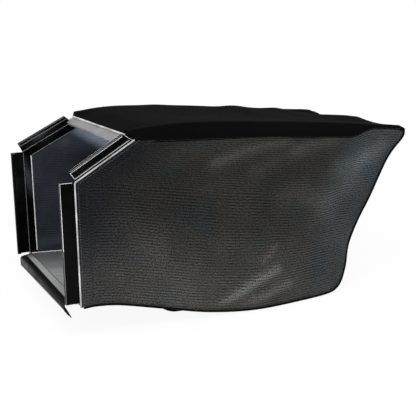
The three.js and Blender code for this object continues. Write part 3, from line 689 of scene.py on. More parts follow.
# Side panels of knitted mesh
sideCloth = dict(
    columns=150, lowRows=60, highRows=36,
    creases=dict(
        right=[
            (((0.262, 0.243), (0.319, 0.258), (0.368, 0.269), (0.430, 0.274)), 0.009, 0.014, 0.0058),
            (((0.350, 0.224), (0.400, 0.236), (0.460, 0.252)), 0.010, 0.018, 0.0020),
            (((0.448, 0.258), (0.505, 0.267), (0.553, 0.277)), 0.010, 0.016, 0.0040),
            (((0.285, -0.046), (0.324, -0.026), (0.358, -0.008), (0.408, 0.014)), 0.010, 0.013, 0.0075),
            (((0.324, -0.064), (0.375, -0.046), (0.441, -0.024)), 0.010, 0.014, 0.0045),
            (((0.376, 0.036), (0.392, 0.050), (0.400, 0.062)), 0.006, 0.010, 0.0032),
            (((0.540, 0.120), (0.580, 0.180), (0.620, 0.230)), 0.034, 0.024, 0.0028),
            (((0.416, 0.158), (0.470, 0.160), (0.520, 0.148)), 0.032, 0.030, 0.0040),
            (((0.560, 0.215), (0.620, 0.228), (0.680, 0.250)), 0.014, 0.022, 0.0040),
        ],
        left=[
            (((0.230, 0.210), (0.330, 0.238), (0.450, 0.258)), 0.014, 0.024, 0.0030),
            (((0.260, -0.040), (0.340, -0.010), (0.420, 0.030)), 0.012, 0.020, 0.0034),
            (((0.430, 0.040), (0.500, 0.090), (0.570, 0.150)), 0.016, 0.028, 0.0028),
            (((0.080, 0.060), (0.170, 0.070), (0.240, 0.095)), 0.014, 0.022, 0.0018),
            (((0.030, 0.010), (0.100, 0.016), (0.190, 0.014)), 0.010, 0.012, -0.0040),
        ],
    ),
    waves=0.0040, waveSize=0.11, waveSeed=3.0, crestHeight=0.0080, rearRounding=0.002, rearRoundingShare=0.10,
    mouthFade=0.07, rearFade=0.06, lowFade=0.07, highFade=0.05,
)


# The bag's upper rear corners
rearNose = dict(reach=0.0080, level=0.270, spread=0.018, fade=0.06, cut=0.0030, cutStart=0.5,
                cornerWidth=0.80)


def noseShift(z, closeness):  # how far the rear edge swells rearwards below the top's corner
    return rearNose["reach"] * np.exp(-((z - rearNose["level"]) / rearNose["spread"]) ** 2) * closeness


def mouthEdgePoint(up):
    low = np.clip(up / bag["shoulderShare"], 0.0, 1.0)[..., None]
    high = np.clip((up - bag["shoulderShare"]) / (1 - bag["shoulderShare"]), 0.0, 1.0)[..., None]
    return np.where(high > 0, shoulderFoot + (shoulderTop - shoulderFoot) * high,
                    mouthLow + (shoulderFoot - mouthLow) * low)


def sidePatch(along, up):  # a sheet stretched between the side's four edges
    a, u = along[..., None], up[..., None]
    edges = (1 - u) * pointAt(bottomEdge, along) + u * pointAt(topSeam, along)
    ends = (1 - a) * mouthEdgePoint(up) + a * pointAt(rearEdge, up)
    corners = (1 - u) * ((1 - a) * mouthLow + a * rearFoot) + u * ((1 - a) * shoulderTop + a * rearTop)
    return edges + ends - corners


def makeSideCloth(side, sign, values):
    share = bag["shoulderShare"]
    rows = np.concatenate([np.linspace(0, share, values["lowRows"] + 1),
                           np.linspace(share, 1, values["highRows"] + 1)[1:]])
    along, up = np.meshgrid(np.linspace(0, 1, values["columns"] + 1), rows)
    flatPoints = sidePatch(along, up)
    x, z = flatPoints[..., 0], flatPoints[..., 1]
    edgeFade = (smoothStep(0, values["mouthFade"], along) * smoothStep(0, values["rearFade"], 1 - along)
                * smoothStep(0, values["lowFade"], up) * smoothStep(0, values["highFade"], 1 - up))
    creases = creaseLift(x, z, values["creases"][side])
    lift = creases + slowWaves(x, z, values["waveSeed"] + sign, values["waveSize"], values["waves"])
    rounding = values["rearRounding"] * (1 - smoothStep(0, values["rearRoundingShare"], 1 - along)) ** 2
    y = sideY(x, z) + lift * edgeFade - rounding
    swollen = x + noseShift(z, smoothStep(1 - rearNose["fade"], 1.0, along))
    grid = np.stack([swollen, sign * y, z], axis=-1)
    flat = np.stack([along * knit["panelLength"], up * knit["panelHeight"]], axis=-1)
    piece = clothPanel(f"{side}SideCloth", grid, flat, finish["knit"], finish["lining"])
    markCrests(piece, creases * edgeFade, values["crestHeight"])
    return piece, flatArea(grid)


# The top's rear edge rises and dips across the bag's width.
rearWave = splineThrough([
    (-1, -0.002), (-0.93, -0.0010), (-0.84, -0.0018), (-0.66, -0.0042), (-0.45, -0.0045),
    (-0.25, -0.0018), (-0.05, 0.0022), (0.14, 0.0003), (0.34, -0.0030), (0.60, -0.0070),
    (0.80, -0.0085), (0.93, -0.0045), (1, 0),
])


def rearLift(across, closeness):  # across runs from -1 on the right side to 1 on the left
    return heightAt(rearWave, across) * closeness


# Top panel of coated cloth, turned down over both long edges. Its right front corner reaches forward behind
# the shoulder strip, by an amount for each height above the seam.
topCloth = dict(
    rows=130, skirtColumns=6, arcColumns=8, topColumns=26, flatRow=60,
    seamOverlap=0.005, overlapStart=0.03, seamLift=0.0009, arcMargin=0.0006, leastRadius=0.002,
    frontEase=0.08, frontEaseWidth=0.2,
    cornerHeights=(0.0, 0.0095, 0.0174), cornerReach=(0.0, 0.0175, 0.0120), cornerLength=0.07,
    waves=0.0022, waveSize=0.13, waveSeed=11.0, foldHeight=0.012, foldShare=0.6, frontFade=0.05,
    rearFade=0.04,
    farSteps=[(0.30, 0.0015), (0.62, 0.004), (0.80, 0.003)], farStepWidth=0.05, farStepSide=(-0.02, 0.12),
    rearWaveStart=0.80, rearCornerStart=0.95,
)


def topSection(along, values, cornerShare):  # half of the section at a share of the seam's length
    seam = pointAt(topSeam, along)
    skirt = float(heightAt(skirtShape, along) - skirtLoss(along))
    radius = float(np.clip(skirt - values["arcMargin"], values["leastRadius"], bag["topEdgeRadius"]))
    half = float(halfWidth(seam[0])) + values["seamLift"]
    overlap = values["seamOverlap"] * float(smoothStep(0, values["overlapStart"], along))
    ease = 1 - float(smoothStep(0, values["frontEase"], along))
    corner = cornerShare * (1 - float(smoothStep(0, values["cornerLength"], along)))
    rearward = bag["topOverhang"] * along
    points = []
    for share in np.linspace(0, 1, values["skirtColumns"], endpoint=False):
        rise = -overlap + (skirt - radius + overlap) * share
        ahead = float(np.interp(rise, values["cornerHeights"], values["cornerReach"])) * corner
        points.append((half, rise, 0.0, rearward * max(0.0, rise / skirt) - ahead))
    for angle in np.linspace(0, np.pi / 2, values["arcColumns"], endpoint=False):
        reach = half - radius + radius * math.cos(angle)
        rise = skirt - radius + radius * math.sin(angle)
        ahead = float(np.interp(rise, values["cornerHeights"], values["cornerReach"])) * corner
        points.append((reach, rise, 0.0, rearward - ahead))
    for share in np.linspace(1, 0, values["topColumns"]):
        sag = bag["topSag"] * math.sin(math.pi * along) * (1 - share * share)
        inward = float(smoothStep(0, values["frontEaseWidth"], 1 - share))
        ahead = values["cornerReach"][-1] * (1 - inward) * corner
        points.append(((half - radius) * share, skirt - sag, inward * ease, rearward - ahead))
    return [(seam[0] + back - bag["topFrontForward"] * dip, y, seam[1] + rise - bag["topFrontDip"] * dip)
            for y, rise, dip, back in points]


def makeTopCloth(values):
    stations = np.linspace(0, 1, values["rows"] + 1)
    rows = []
    for along in stations:
        right, left = (topSection(along, values, cornerShare) for cornerShare in (1.0, 0.0))
        rows.append([(x, -y, z) for x, y, z in right] + left[-2::-1])
    grid = np.array(rows)
    x, y, z = grid[..., 0], grid[..., 1], grid[..., 2]
    along = stations[:, None] * np.ones_like(x)
    skirt = (heightAt(skirtShape, stations) - skirtLoss(stations))[:, None]
    foldHeight = np.minimum(values["foldHeight"], values["foldShare"] * skirt)
    above = smoothStep(0.0, foldHeight, z - heightAt(topSeam, x))
    lift = slowWaves(x, y, values["waveSeed"], values["waveSize"], values["waves"])
    for place, height in values["farSteps"]:
        far = smoothStep(*values["farStepSide"], y)
        lift += height * np.exp(-((along - place) / values["farStepWidth"]) ** 2) * far
    ends = smoothStep(0, values["frontFade"], along) * smoothStep(0, values["rearFade"], 1 - along)
    grid[..., 2] += lift * above * ends
    across = y / bag["rearHalfWidth"]
    grid[..., 2] += rearLift(across, smoothStep(values["rearWaveStart"], 1.0, along)) * above
    corner = (smoothStep(rearNose["cornerWidth"], 1.0, np.abs(across))
              * smoothStep(values["rearCornerStart"], 1.0, along))
    grid[..., 0] += noseShift(grid[..., 2], corner)
    grid[..., 2] -= rearNose["cut"] * smoothStep(rearNose["cutStart"], 1.0, corner)
    steps = np.linalg.norm(np.diff(grid[values["flatRow"]], axis=0), axis=1)
    girth = np.concatenate([[0.0], np.cumsum(steps)])
    flat = np.stack([along * bag["seamLength"], girth[None, :] * np.ones_like(x)], axis=-1)
    return clothPanel("topCloth", grid, flat, finish["coated"], finish["coatedInside"]), flatArea(grid)


# Bottom panel of coated cloth, with a flat belly
bottomCloth = dict(rows=110, columns=64, riseShape=0.8)


def panelShares(values):  # a grid from -1 to 1 across the panel, and from 0 to 1 along it
    return np.meshgrid(np.linspace(-1, 1, values["columns"] + 1), np.linspace(0, 1, values["rows"] + 1))


def bellyHeight(x, edge):
    front = -bag["sillThickness"] - bag["clothGap"]
    sillEnd = front - bag["sillDepth"] * math.tan(math.radians(bag["sillSlope"]))
    height = np.interp(x, (0.0, bag["sillDepth"]), (front, sillEnd))
    down = smoothStep(bag["sillDepth"], bag["bellyFlatStart"], x)
    height = height + (-bag["bellyDrop"] - sillEnd) * down
    rise = smoothStep(bag["bellyFlatEnd"], bag["bottomReach"], x) ** bottomCloth["riseShape"]
    return np.where(x > bag["bellyFlatEnd"], -bag["bellyDrop"] + (edge + bag["bellyDrop"]) * rise, height)


def makeBottomCloth(values):
    across, along = panelShares(values)
    edge = pointAt(bottomEdge, along)
    x, z = edge[..., 0], edge[..., 1]
    blend = 1 - smoothStep(bag["bellyFlatShare"], 1, np.abs(across))
    height = z + (bellyHeight(x, z) - z) * blend
    grid = np.stack([x, across * (halfWidth(x) - bag["clothGap"]), height], axis=-1)
    flat = np.stack([along * bag["bottomReach"], across * bag["mouthHalfWidth"]], axis=-1)
    return clothPanel("bottomCloth", grid, flat, finish["coated"], finish["coatedInside"]), flatArea(grid)


# Rear panel of knitted mesh
rearCloth = dict(
    rows=84, columns=72, waves=0.0030, waveSize=0.10, waveSeed=21.0, bulgeShape=1.35,
    sideFade=0.12, endFade=0.08, rearWaveStart=0.86, mapStart=0.30, mapHalfWidth=0.17,
    creases=[
        (((-0.120, 0.020), (-0.040, 0.060), (0.060, 0.080)), 0.014, 0.024, 0.0030),
        (((0.130, 0.180), (0.050, 0.150), (-0.050, 0.150)), 0.016, 0.026, 0.0026),
    ],
)


def makeRearCloth(values):
    across, up = panelShares(values)
    edge = pointAt(rearEdge, up)
    normal = outwardAt(rearEdge, up)
    swell = bag["rearBulge"] * np.sin(np.pi * up) ** values["bulgeShape"] * (1 - across**2)
    y = across * (halfWidth(edge[..., 0]) - bag["clothGap"] - sideCloth["rearRounding"])
    edgeFade = (smoothStep(0, values["sideFade"], 1 - np.abs(across))
                * smoothStep(0, values["endFade"], up) * smoothStep(0, values["endFade"], 1 - up))
    waves = slowWaves(y, edge[..., 1], values["waveSeed"], values["waveSize"], values["waves"])
    out = swell + (creaseLift(y, edge[..., 1], values["creases"]) + waves) * edgeFade
    x, z = edge[..., 0] + normal[..., 0] * out, edge[..., 1] + normal[..., 1] * out
    x = x + noseShift(z, smoothStep(rearNose["cornerWidth"], 1.0, np.abs(across)))
    z = z + rearLift(across, smoothStep(values["rearWaveStart"], 1.0, up))
    grid = np.stack([x, y, z], axis=-1)
    mapAcross = values["mapStart"] + across * values["mapHalfWidth"]
    flat = np.stack([mapAcross, up * knit["panelHeight"]], axis=-1)
    return clothPanel("rearCloth", grid, flat, finish["knit"], finish["lining"]), flatArea(grid)


pieces = {}
areas = {}
for side, sign in (("right", -1), ("left", 1)):
    pieces[f"{side}Side"], areas[f"{side}Side"] = makeSideCloth(side, sign, sideCloth)
pieces["top"], areas["top"] = makeTopCloth(topCloth)
pieces["bottom"], areas["bottom"] = makeBottomCloth(bottomCloth)
pieces["rear"], areas["rear"] = makeRearCloth(rearCloth)
print("cloth panels made", {name: round(area, 3) for name, area in areas.items()})


# Geometry Nodes: a round bead along paths, and stitches along paths
def makeBeadTree():
    tree, given, result = newGroup(
        "beadAlongPath", "GeometryNodeTree",
        [("Geometry", "NodeSocketGeometry", None), ("Radius", "NodeSocketFloat", 0.002),
         ("Sides", "NodeSocketInt", 12), ("Cuts", "NodeSocketInt", 0), ("Unevenness", "NodeSocketFloat", 0.0),
         ("Bump Scale", "NodeSocketFloat", 160.0), ("Material", "NodeSocketMaterial", None)],
        [("Geometry", "NodeSocketGeometry")],
    )
    curve = addNode(tree, "GeometryNodeMeshToCurve", {"Mesh": given.outputs["Geometry"]})
    fine = addNode(tree, "GeometryNodeSubdivideCurve", {
        "Curve": curve.outputs[0], "Cuts": given.outputs["Cuts"]})
    bumps = addNode(tree, "ShaderNodeTexNoise", {"Scale": given.outputs["Bump Scale"]})
    swing = mathNode(tree, "SUBTRACT", bumps.outputs[0], 0.5)
    factor = mathNode(tree, "MULTIPLY_ADD", swing, given.outputs["Unevenness"], 1.0)
    radius = multiply(tree, factor, given.outputs["Radius"])
    sized = addNode(tree, "GeometryNodeSetCurveRadius", {"Curve": fine.outputs[0], "Radius": radius})
    ring = addNode(tree, "GeometryNodeCurvePrimitiveCircle", {
        "Resolution": given.outputs["Sides"], "Radius": 1.0})
    tube = addNode(tree, "GeometryNodeCurveToMesh", {
        "Curve": sized.outputs[0], "Profile Curve": ring.outputs[0],
        "Scale": addNode(tree, "GeometryNodeInputRadius").outputs[0], "Fill Caps": True})
    smooth = addNode(tree, "GeometryNodeSetShadeSmooth", {"Geometry": tube.outputs[0]})
    joined = addNode(tree, "GeometryNodeRealizeInstances", {"Geometry": smooth.outputs[0]})
    dressed = addNode(tree, "GeometryNodeSetMaterial", {
        "Geometry": joined.outputs[0], "Material": given.outputs["Material"]})
    tree.links.new(dressed.outputs[0], result.inputs["Geometry"])
    return tree


def makeStitchTree():
    tree, given, result = newGroup(
        "stitchesAlongPath", "GeometryNodeTree",
        [("Geometry", "NodeSocketGeometry", None), ("Pitch", "NodeSocketFloat", 0.004),
         ("Stitch Length", "NodeSocketFloat", 0.003), ("Thread Radius", "NodeSocketFloat", 0.0004),
         ("Least Size", "NodeSocketFloat", 0.88), ("Most Size", "NodeSocketFloat", 1.1),
         ("Seed", "NodeSocketInt", 4), ("Material", "NodeSocketMaterial", None)],
        [("Geometry", "NodeSocketGeometry")],
    )
    curve = addNode(tree, "GeometryNodeMeshToCurve", {"Mesh": given.outputs["Geometry"]})
    even = addNode(tree, "GeometryNodeResampleCurve", {
        "Curve": curve.outputs[0], "Length": given.outputs["Pitch"]}, mode="LENGTH")
    ball = addNode(tree, "GeometryNodeMeshIcoSphere", {"Radius": 1.0, "Subdivisions": 1})
    half = multiply(tree, given.outputs["Stitch Length"], 0.5)
    size = addNode(tree, "ShaderNodeCombineXYZ", {0: half, 1: given.outputs["Thread Radius"],
                                                 2: given.outputs["Thread Radius"]})
    thread = addNode(tree, "GeometryNodeTransform", {"Geometry": ball.outputs[0], "Scale": size.outputs[0]})
    tangent = addNode(tree, "GeometryNodeInputTangent")
    aimed = addNode(tree, "FunctionNodeAlignRotationToVector", {"Vector": tangent.outputs[0]}, axis="X")
    vary = addNode(tree, "FunctionNodeRandomValue", {"Seed": given.outputs["Seed"]}, data_type="FLOAT")
    tree.links.new(given.outputs["Least Size"], vary.inputs[2])
    tree.links.new(given.outputs["Most Size"], vary.inputs[3])
    placed = addNode(tree, "GeometryNodeInstanceOnPoints", {
        "Points": even.outputs[0], "Instance": thread.outputs[0], "Rotation": aimed.outputs[0],
        "Scale": vary.outputs[1]})
    joined = addNode(tree, "GeometryNodeRealizeInstances", {"Geometry": placed.outputs[0]})
    smooth = addNode(tree, "GeometryNodeSetShadeSmooth", {"Geometry": joined.outputs[0]})
    dressed = addNode(tree, "GeometryNodeSetMaterial", {
        "Geometry": smooth.outputs[0], "Material": given.outputs["Material"]})
    tree.links.new(dressed.outputs[0], result.inputs["Geometry"])
    return tree


beadTree = makeBeadTree()
stitchTree = makeStitchTree()


def growAlong(name, tree, paths, settings):  # paths are rows of points in the bag's own coordinates
    points, edges = [], []
    for path in paths:
        start = len(points)
        points += [tuple(np.array(p) + mouthFoot) for p in path]
        edges += [(k, k + 1) for k in range(start, len(points) - 1)]
    mesh = bpy.data.meshes.new(name + "Path")
    mesh.from_pydata(points, edges, [])
    path = bpy.data.objects.new(name + "Path", mesh)
    bpy.context.scene.collection.objects.link(path)
    grow = path.modifiers.new("grow", "NODES")
    grow.node_group = tree
    sockets = {item.name: item.identifier for item in tree.interface.items_tree if item.in_out == "INPUT"}
    for label, value in settings.items():
        grow[sockets[label]] = value
    depsgraph = bpy.context.evaluated_depsgraph_get()
    made = bpy.data.meshes.new_from_object(path.evaluated_get(depsgraph))
    path.modifiers.remove(grow)
    bpy.data.objects.remove(path)
    piece = bpy.data.objects.new(name, made)
    bpy.context.scene.collection.objects.link(piece)
    return piece


def growBead(name, paths, radius, material, sides=8, cuts=0, unevenness=0.0):
    return growAlong(name, beadTree, paths, {
        "Radius": radius, "Sides": sides, "Cuts": cuts, "Unevenness": unevenness,
        "Material": finish[material]})


def inPlane(points, y):  # outline points (x, z) at a given y
    points = np.array(points, float)
    return np.stack([points[:, 0], np.full(len(points), y) if np.isscalar(y) else y, points[:, 1]], axis=-1)


# Directions along the two straight edges of the mouth, and the line that halves the angle between them
frontUp = shoulderFoot / np.linalg.norm(shoulderFoot)
frontForward = np.array((-frontUp[1], frontUp[0]))
shoulderUp = (shoulderTop - shoulderFoot) / np.linalg.norm(shoulderTop - shoulderFoot)
shoulderForward = np.array((-shoulderUp[1], shoulderUp[0]))
mitre = (shoulderUp - frontUp) / np.linalg.norm(shoulderUp - frontUp)
mitreStretch = 1 / abs(mitre[0] * frontUp[1] - mitre[1] * frontUp[0])


# A line that follows the mouth's edge at a distance behind it
def mouthLine(back, steps=40, footLift=0.001, endShort=0.0005):
    foot = np.array((back, float(heightAt(bottomEdge, back)) + footLift))
    bend = shoulderFoot + mitre * back * mitreStretch
    endX = shoulderTop[0] + back / shoulderUp[1]
    end = np.array((endX, float(heightAt(topSeam, endX)) - endShort))
    share = np.linspace(0, 1, steps)[:, None]
    return np.vstack([foot + (bend - foot) * share, (bend + (end - bend) * share)[1:]])


# Navy bands sewn over the side panels along the mouth
mouthBand = dict(width=bag["hemWidth"], lift=0.0012, edgeShare=0.35, rows=9, thickness=0.0009, mapShare=0.9,
                 stitchRows=(0.0035, 0.0180))


def sideSurface(line, sign, lift):
    return inPlane(line, sign * (sideY(line[:, 0], line[:, 1]) + lift))


def makeMouthBand(side, sign, values):
    backs = np.linspace(0.0, values["width"], values["rows"])
    crown = [values["edgeShare"], *([1.0] * (values["rows"] - 2)), values["edgeShare"]]
    grid = np.array([sideSurface(mouthLine(back), sign, values["lift"] * rise)
                     for back, rise in zip(backs, crown)])
    share = bag["shoulderShare"]
    steps = grid.shape[1] // 2 + 1
    up = np.concatenate([np.linspace(0, share, steps), np.linspace(share, 1, steps)[1:]])
    flat = np.stack(np.meshgrid(up * knit["panelHeight"], backs * values["mapShare"])[::-1], axis=-1)
    return clothPanel(f"{side}MouthBand", grid, flat, finish["knit"], finish["navy"], values["thickness"])


seamTape = dict(start=0.012, end=0.985, below=0.012, above=0.0015, columns=60, rows=7, thickness=0.0008)


def makeSeamTape(side, sign, values):  # the tape inside the seam between side and top
    along, rise = np.meshgrid(np.linspace(values["start"], values["end"], values["columns"]),
                              np.linspace(-values["below"], values["above"], values["rows"]))
    seam = pointAt(topSeam, along)
    x, z = seam[..., 0], seam[..., 1] + rise
    y = sideY(x, np.minimum(z, seam[..., 1])) - 2 * bag["clothThickness"] - values["thickness"]
    grid = np.stack([x, sign * y, z], axis=-1)
    flat = np.stack([along * bag["seamLength"], rise], axis=-1)
    return clothPanel(f"{side}SeamTape", grid, flat, finish["welt"], finish["welt"], values["thickness"])


# Rolled welts along the lower and rear edges, and along the top's rear edge
welt = dict(radius=0.0021, stand=0.0009, unevenness=0.10, start=0.006, end=0.99, drawInStart=0.94, points=120)
rearTopWelt = dict(radius=0.0016, unevenness=0.12, behind=0.0019, short=0.004, stitchesDown=0.006, points=60)


def sideWeltPath(sign):
    shares = np.linspace(welt["start"], 1, welt["points"])
    rearShares = shares * welt["end"]
    bottom = pointAt(bottomEdge, shares) + outwardAt(bottomEdge, shares) * welt["stand"]
    rear = pointAt(rearEdge, rearShares) + outwardAt(rearEdge, rearShares) * welt["stand"]
    drawIn = sideCloth["rearRounding"]
    bottomY = halfWidth(bottom[:, 0]) + welt["stand"] - drawIn * smoothStep(welt["drawInStart"], 1.0, shares)
    rearY = halfWidth(rear[:, 0]) + welt["stand"] - drawIn
    rear[:, 0] += noseShift(rear[:, 1], 1.0)
    return np.vstack([inPlane(bottom[:-1], sign * bottomY[:-1]), inPlane(rear, sign * rearY)])


def topRearPath(down):  # along the top's rear edge, at a distance below it
    level = rearTop[1] + float(skirtShape[-1, 1]) - bag["clothGap"] - down
    y = np.linspace(-1, 1, rearTopWelt["points"]) * (bag["rearHalfWidth"] - rearTopWelt["short"])
    z = level + rearLift(y / bag["rearHalfWidth"], 1.0)
    return np.stack([np.full_like(y, rearTop[0] + rearTopWelt["behind"]), y, z], axis=-1)


for side, sign in (("right", -1), ("left", 1)):
    pieces[f"{side}Band"] = makeMouthBand(side, sign, mouthBand)
    pieces[f"{side}Tape"] = makeSeamTape(side, sign, seamTape)
    pieces[f"{side}Welt"] = growBead(f"{side}SideWelt", [sideWeltPath(sign)], welt["radius"], "welt",
                                     sides=10, cuts=1, unevenness=welt["unevenness"])
pieces["rearWelt"] = growBead(
    "rearTopWelt", [topRearPath(rearTopWelt["radius"])], rearTopWelt["radius"], "welt", sides=10,
    unevenness=rearTopWelt["unevenness"])
print("bands, tapes and welts made")


# Stitches
stitching = dict(pitch=0.0046, length=0.0034, radius=0.00042, leastSize=0.88, mostSize=1.1, seed=4,
                 proud=0.0003, seamDown=0.0030, hemIn=0.0065, flangeRow=0.0178, drawnInShare=0.75,
                 bandFoot=0.004, flangeFoot=0.006, seamSpan=(0.035, 0.985), hemSpan=(0.03, 0.995), points=200)


def stitchPaths():
    bandRows, darkRows, paleRows = [], [], []
    frontBack, rearBack = mouthBand["stitchRows"]
    for sign in (-1, 1):
        lift = mouthBand["lift"] + stitching["proud"]
        paleRows.append(sideSurface(mouthLine(frontBack, footLift=stitching["bandFoot"]), sign, lift))
        bandRows.append(sideSurface(mouthLine(rearBack, footLift=stitching["bandFoot"]), sign, lift))
        inside = -bag["clothThickness"] - stitching["proud"]
        flangeLine = mouthLine(stitching["flangeRow"], footLift=stitching["flangeFoot"])
        paleRows.append(sideSurface(flangeLine, sign, inside))
        seam = pointAt(topSeam, np.linspace(*stitching["seamSpan"], stitching["points"]))
        seam[:, 1] -= stitching["seamDown"]
        lift = topCloth["seamLift"] + stitching["proud"]
        darkRows.append(inPlane(seam, sign * (halfWidth(seam[:, 0]) + lift)))
        shares = np.linspace(*stitching["hemSpan"], stitching["points"])
        for edge in (bottomEdge, rearEdge):
            line = pointAt(edge, shares) - outwardAt(edge, shares) * stitching["hemIn"]
            drawnIn = sideCloth["rearRounding"] * stitching["drawnInShare"] if edge is rearEdge else 0.0
            y = sideY(line[:, 0], line[:, 1]) + stitching["proud"] - drawnIn
            darkRows.append(inPlane(line, sign * y))
    darkRows.append(topRearPath(rearTopWelt["stitchesDown"]))
    return bandRows, darkRows, paleRows


bandRows, darkRows, paleRows = stitchPaths()
stitchSizes = {"Pitch": stitching["pitch"], "Stitch Length": stitching["length"],
               "Thread Radius": stitching["radius"], "Least Size": stitching["leastSize"],
               "Most Size": stitching["mostSize"], "Seed": stitching["seed"]}
for key, name, rows, threadName in (
    ("bandStitches", "bandStitches", bandRows, "bandThread"),
    ("paleStitches", "flangeStitches", paleRows, "paleThread"),
    ("darkStitches", "seamStitches", darkRows, "darkThread"),
):
    pieces[key] = growAlong(name, stitchTree, rows, {**stitchSizes, "Material": finish[threadName]})
print("stitches made")


# Plastic strips and the sill: the CAD shapes with their sharp edges rounded
edgeRounding = dict(weldDistance=1e-6, flatAngle=1.0, sharpAngle=28.0, segments=2)


def roundedCopy(name, node, material, radius):
    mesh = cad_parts[node].data.copy()
    mesh.name = name
    shape = bmesh.new()
    shape.from_mesh(mesh)
    bmesh.ops.remove_doubles(shape, verts=shape.verts, dist=edgeRounding["weldDistance"])
    flatAngle = math.radians(edgeRounding["flatAngle"])
    bmesh.ops.dissolve_limit(shape, angle_limit=flatAngle, verts=shape.verts, edges=shape.edges)
    shape.to_mesh(mesh)
    shape.free()
    mesh.materials.clear()
    mesh.materials.append(material)
    piece = bpy.data.objects.new(name, mesh)
    bpy.context.scene.collection.objects.link(piece)
    mesh.polygons.foreach_set("use_smooth", [True] * len(mesh.polygons))
    mesh.polygons.foreach_set("material_index", [0] * len(mesh.polygons))
    soften = piece.modifiers.new("roundEdges", "BEVEL")
    soften.width = radius
    soften.segments = edgeRounding["segments"]
    soften.limit_method = "ANGLE"
    soften.angle_limit = math.radians(edgeRounding["sharpAngle"])
    soften.harden_normals = True
    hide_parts(node)
    return piece


strip = dict(wall=0.0016, flange=0.015, sideReach=0.029, shoulderReach=0.023, hookLeg=0.007, hookSlot=0.005,
             endGap=0.002, shoulderShort=0.002, shoulderSlant=0.011, topHalfLength=0.158, topSlope=36.0,
             rounding=0.0004, sillRounding=0.0006)
for side in ("right", "left"):
    for part in ("Side", "Shoulder"):
        pieces[f"{side}{part}Strip"] = roundedCopy(
            f"{side}{part}Strip", f"{side}_{part.lower()}_channel", finish["strip"], strip["rounding"])
pieces["topStrip"] = roundedCopy("topStrip", "top_channel", finish["topStrip"], strip["rounding"])
pieces["sill"] = roundedCopy("sillPlate", "sill_plate", finish["sill"], strip["sillRounding"])


def droopLip(piece, values):
    for vertex in piece.data.vertices:
        x, y, z = vertex.co
        down = float(mouthFoot[2]) - z
        below = smoothStep(values["above"] + values["blend"][0], values["above"] + values["blend"][1], down)
        vertex.co.z = z - values["depth"] * below * smoothStep(values["start"], values["end"], y)


droopLip(pieces["sill"], lipDroop)
print("strips and sill made")

# Pale piping bead, and pale beads along the strips' moulded edges: painted highlights
stripFace = bag["mouthHalfWidth"] - bag["clothGap"]
hookFace = stripFace - strip["hookSlot"] - 2 * strip["wall"]
leftShoulder = dict(turn=3.8, slide=0.004, forward=0.003, inward=0.002)  # how the left shoulder strip droops
pipingBead = dict(radius=0.0015, stand=0.0019, cornerCut=0.004, cornerPoints=7, footUp=0.0008,
                  unevenness=0.30)
topPipingBead = dict(radius=0.0019, rightPast=0.004, tailForward=0.0175, tailDown=0.0105, tailInward=0.002,
                     points=30, unevenness=0.10)
frontLength = float(np.linalg.norm(shoulderFoot))
shoulderLength = float(np.linalg.norm(shoulderTop - shoulderFoot))


def drooped(point):  # where an outline point of the left shoulder strip ends up
    angle = math.radians(leftShoulder["turn"])
    x, z = point[0] - shoulderFoot[0], point[1] - shoulderFoot[1]
    cosine, sine = math.cos(angle), math.sin(angle)
    turned = shoulderFoot + np.array((x * cosine + z * sine, z * cosine - x * sine))
    return turned - shoulderUp * leftShoulder["slide"] + shoulderForward * leftShoulder["forward"]


def stripSpot(part, forward, along, sign=-1):  # a point on a strip, forward of the cloth's edge and along it
    if part == "side":
        return frontForward * forward + frontUp * along
    spot = shoulderFoot + shoulderForward * forward + shoulderUp * along
    return drooped(spot) if sign > 0 else spot


for vertex in pieces["leftShoulderStrip"].data.vertices:
    x, z = drooped((vertex.co.x - mouthFoot[0], vertex.co.z - mouthFoot[2]))
    vertex.co = (x + mouthFoot[0], vertex.co.y - leftShoulder["inward"], z + mouthFoot[2])


def mouthPipingPath(sign):
    stand = pipingBead["stand"]
    foot = frontUp * (pipingBead["footUp"] - bag["frontCornerDrop"]) + frontForward * stand
    bend = shoulderFoot - mitre * stand * mitreStretch
    end = shoulderTop + shoulderForward * stand
    cut = pipingBead["cornerCut"]
    low, high = bend - frontUp * cut, bend + shoulderUp * cut
    share = np.linspace(0, 1, pipingBead["cornerPoints"])[:, None]
    corner = low * (1 - share) ** 2 + 2 * bend * share * (1 - share) + high * share**2
    return inPlane(np.vstack([[foot], corner, [end]]), sign * (stripFace + stand))


def topPipingPath():
    slope = math.radians(strip["topSlope"])
    ahead = np.array((-math.cos(slope), 0.0, -math.sin(slope)))
    out = np.array((-math.sin(slope), 0.0, math.cos(slope)))
    root = np.array((shoulderTop[0] - bag["topFrontForward"], 0.0,
                     shoulderTop[1] + float(skirtShape[0, 1]) - bag["topFrontDip"] - bag["clothGap"]))
    line = root + ahead * pipingBead["stand"] + out * pipingBead["stand"]
    x, z = stripSpot("shoulder", topPipingBead["tailForward"], shoulderLength - topPipingBead["tailDown"])
    tail = (x, topPipingBead["tailInward"] - stripFace, z)
    half = strip["topHalfLength"]
    places = np.linspace(-half - topPipingBead["rightPast"], half, topPipingBead["points"])
    return np.array([tail, *(line + (0, y, 0) for y in places)])


for side, sign in (("right", -1), ("left", 1)):
    pieces[f"{side}Piping"] = growBead(
        f"{side}MouthPiping", [mouthPipingPath(sign)], pipingBead["radius"], "piping", sides=12, cuts=40,
        unevenness=pipingBead["unevenness"])
pieces["topPiping"] = growBead("topPiping", [topPipingPath()], topPipingBead["radius"], "piping",
                               sides=12, cuts=3, unevenness=topPipingBead["unevenness"])

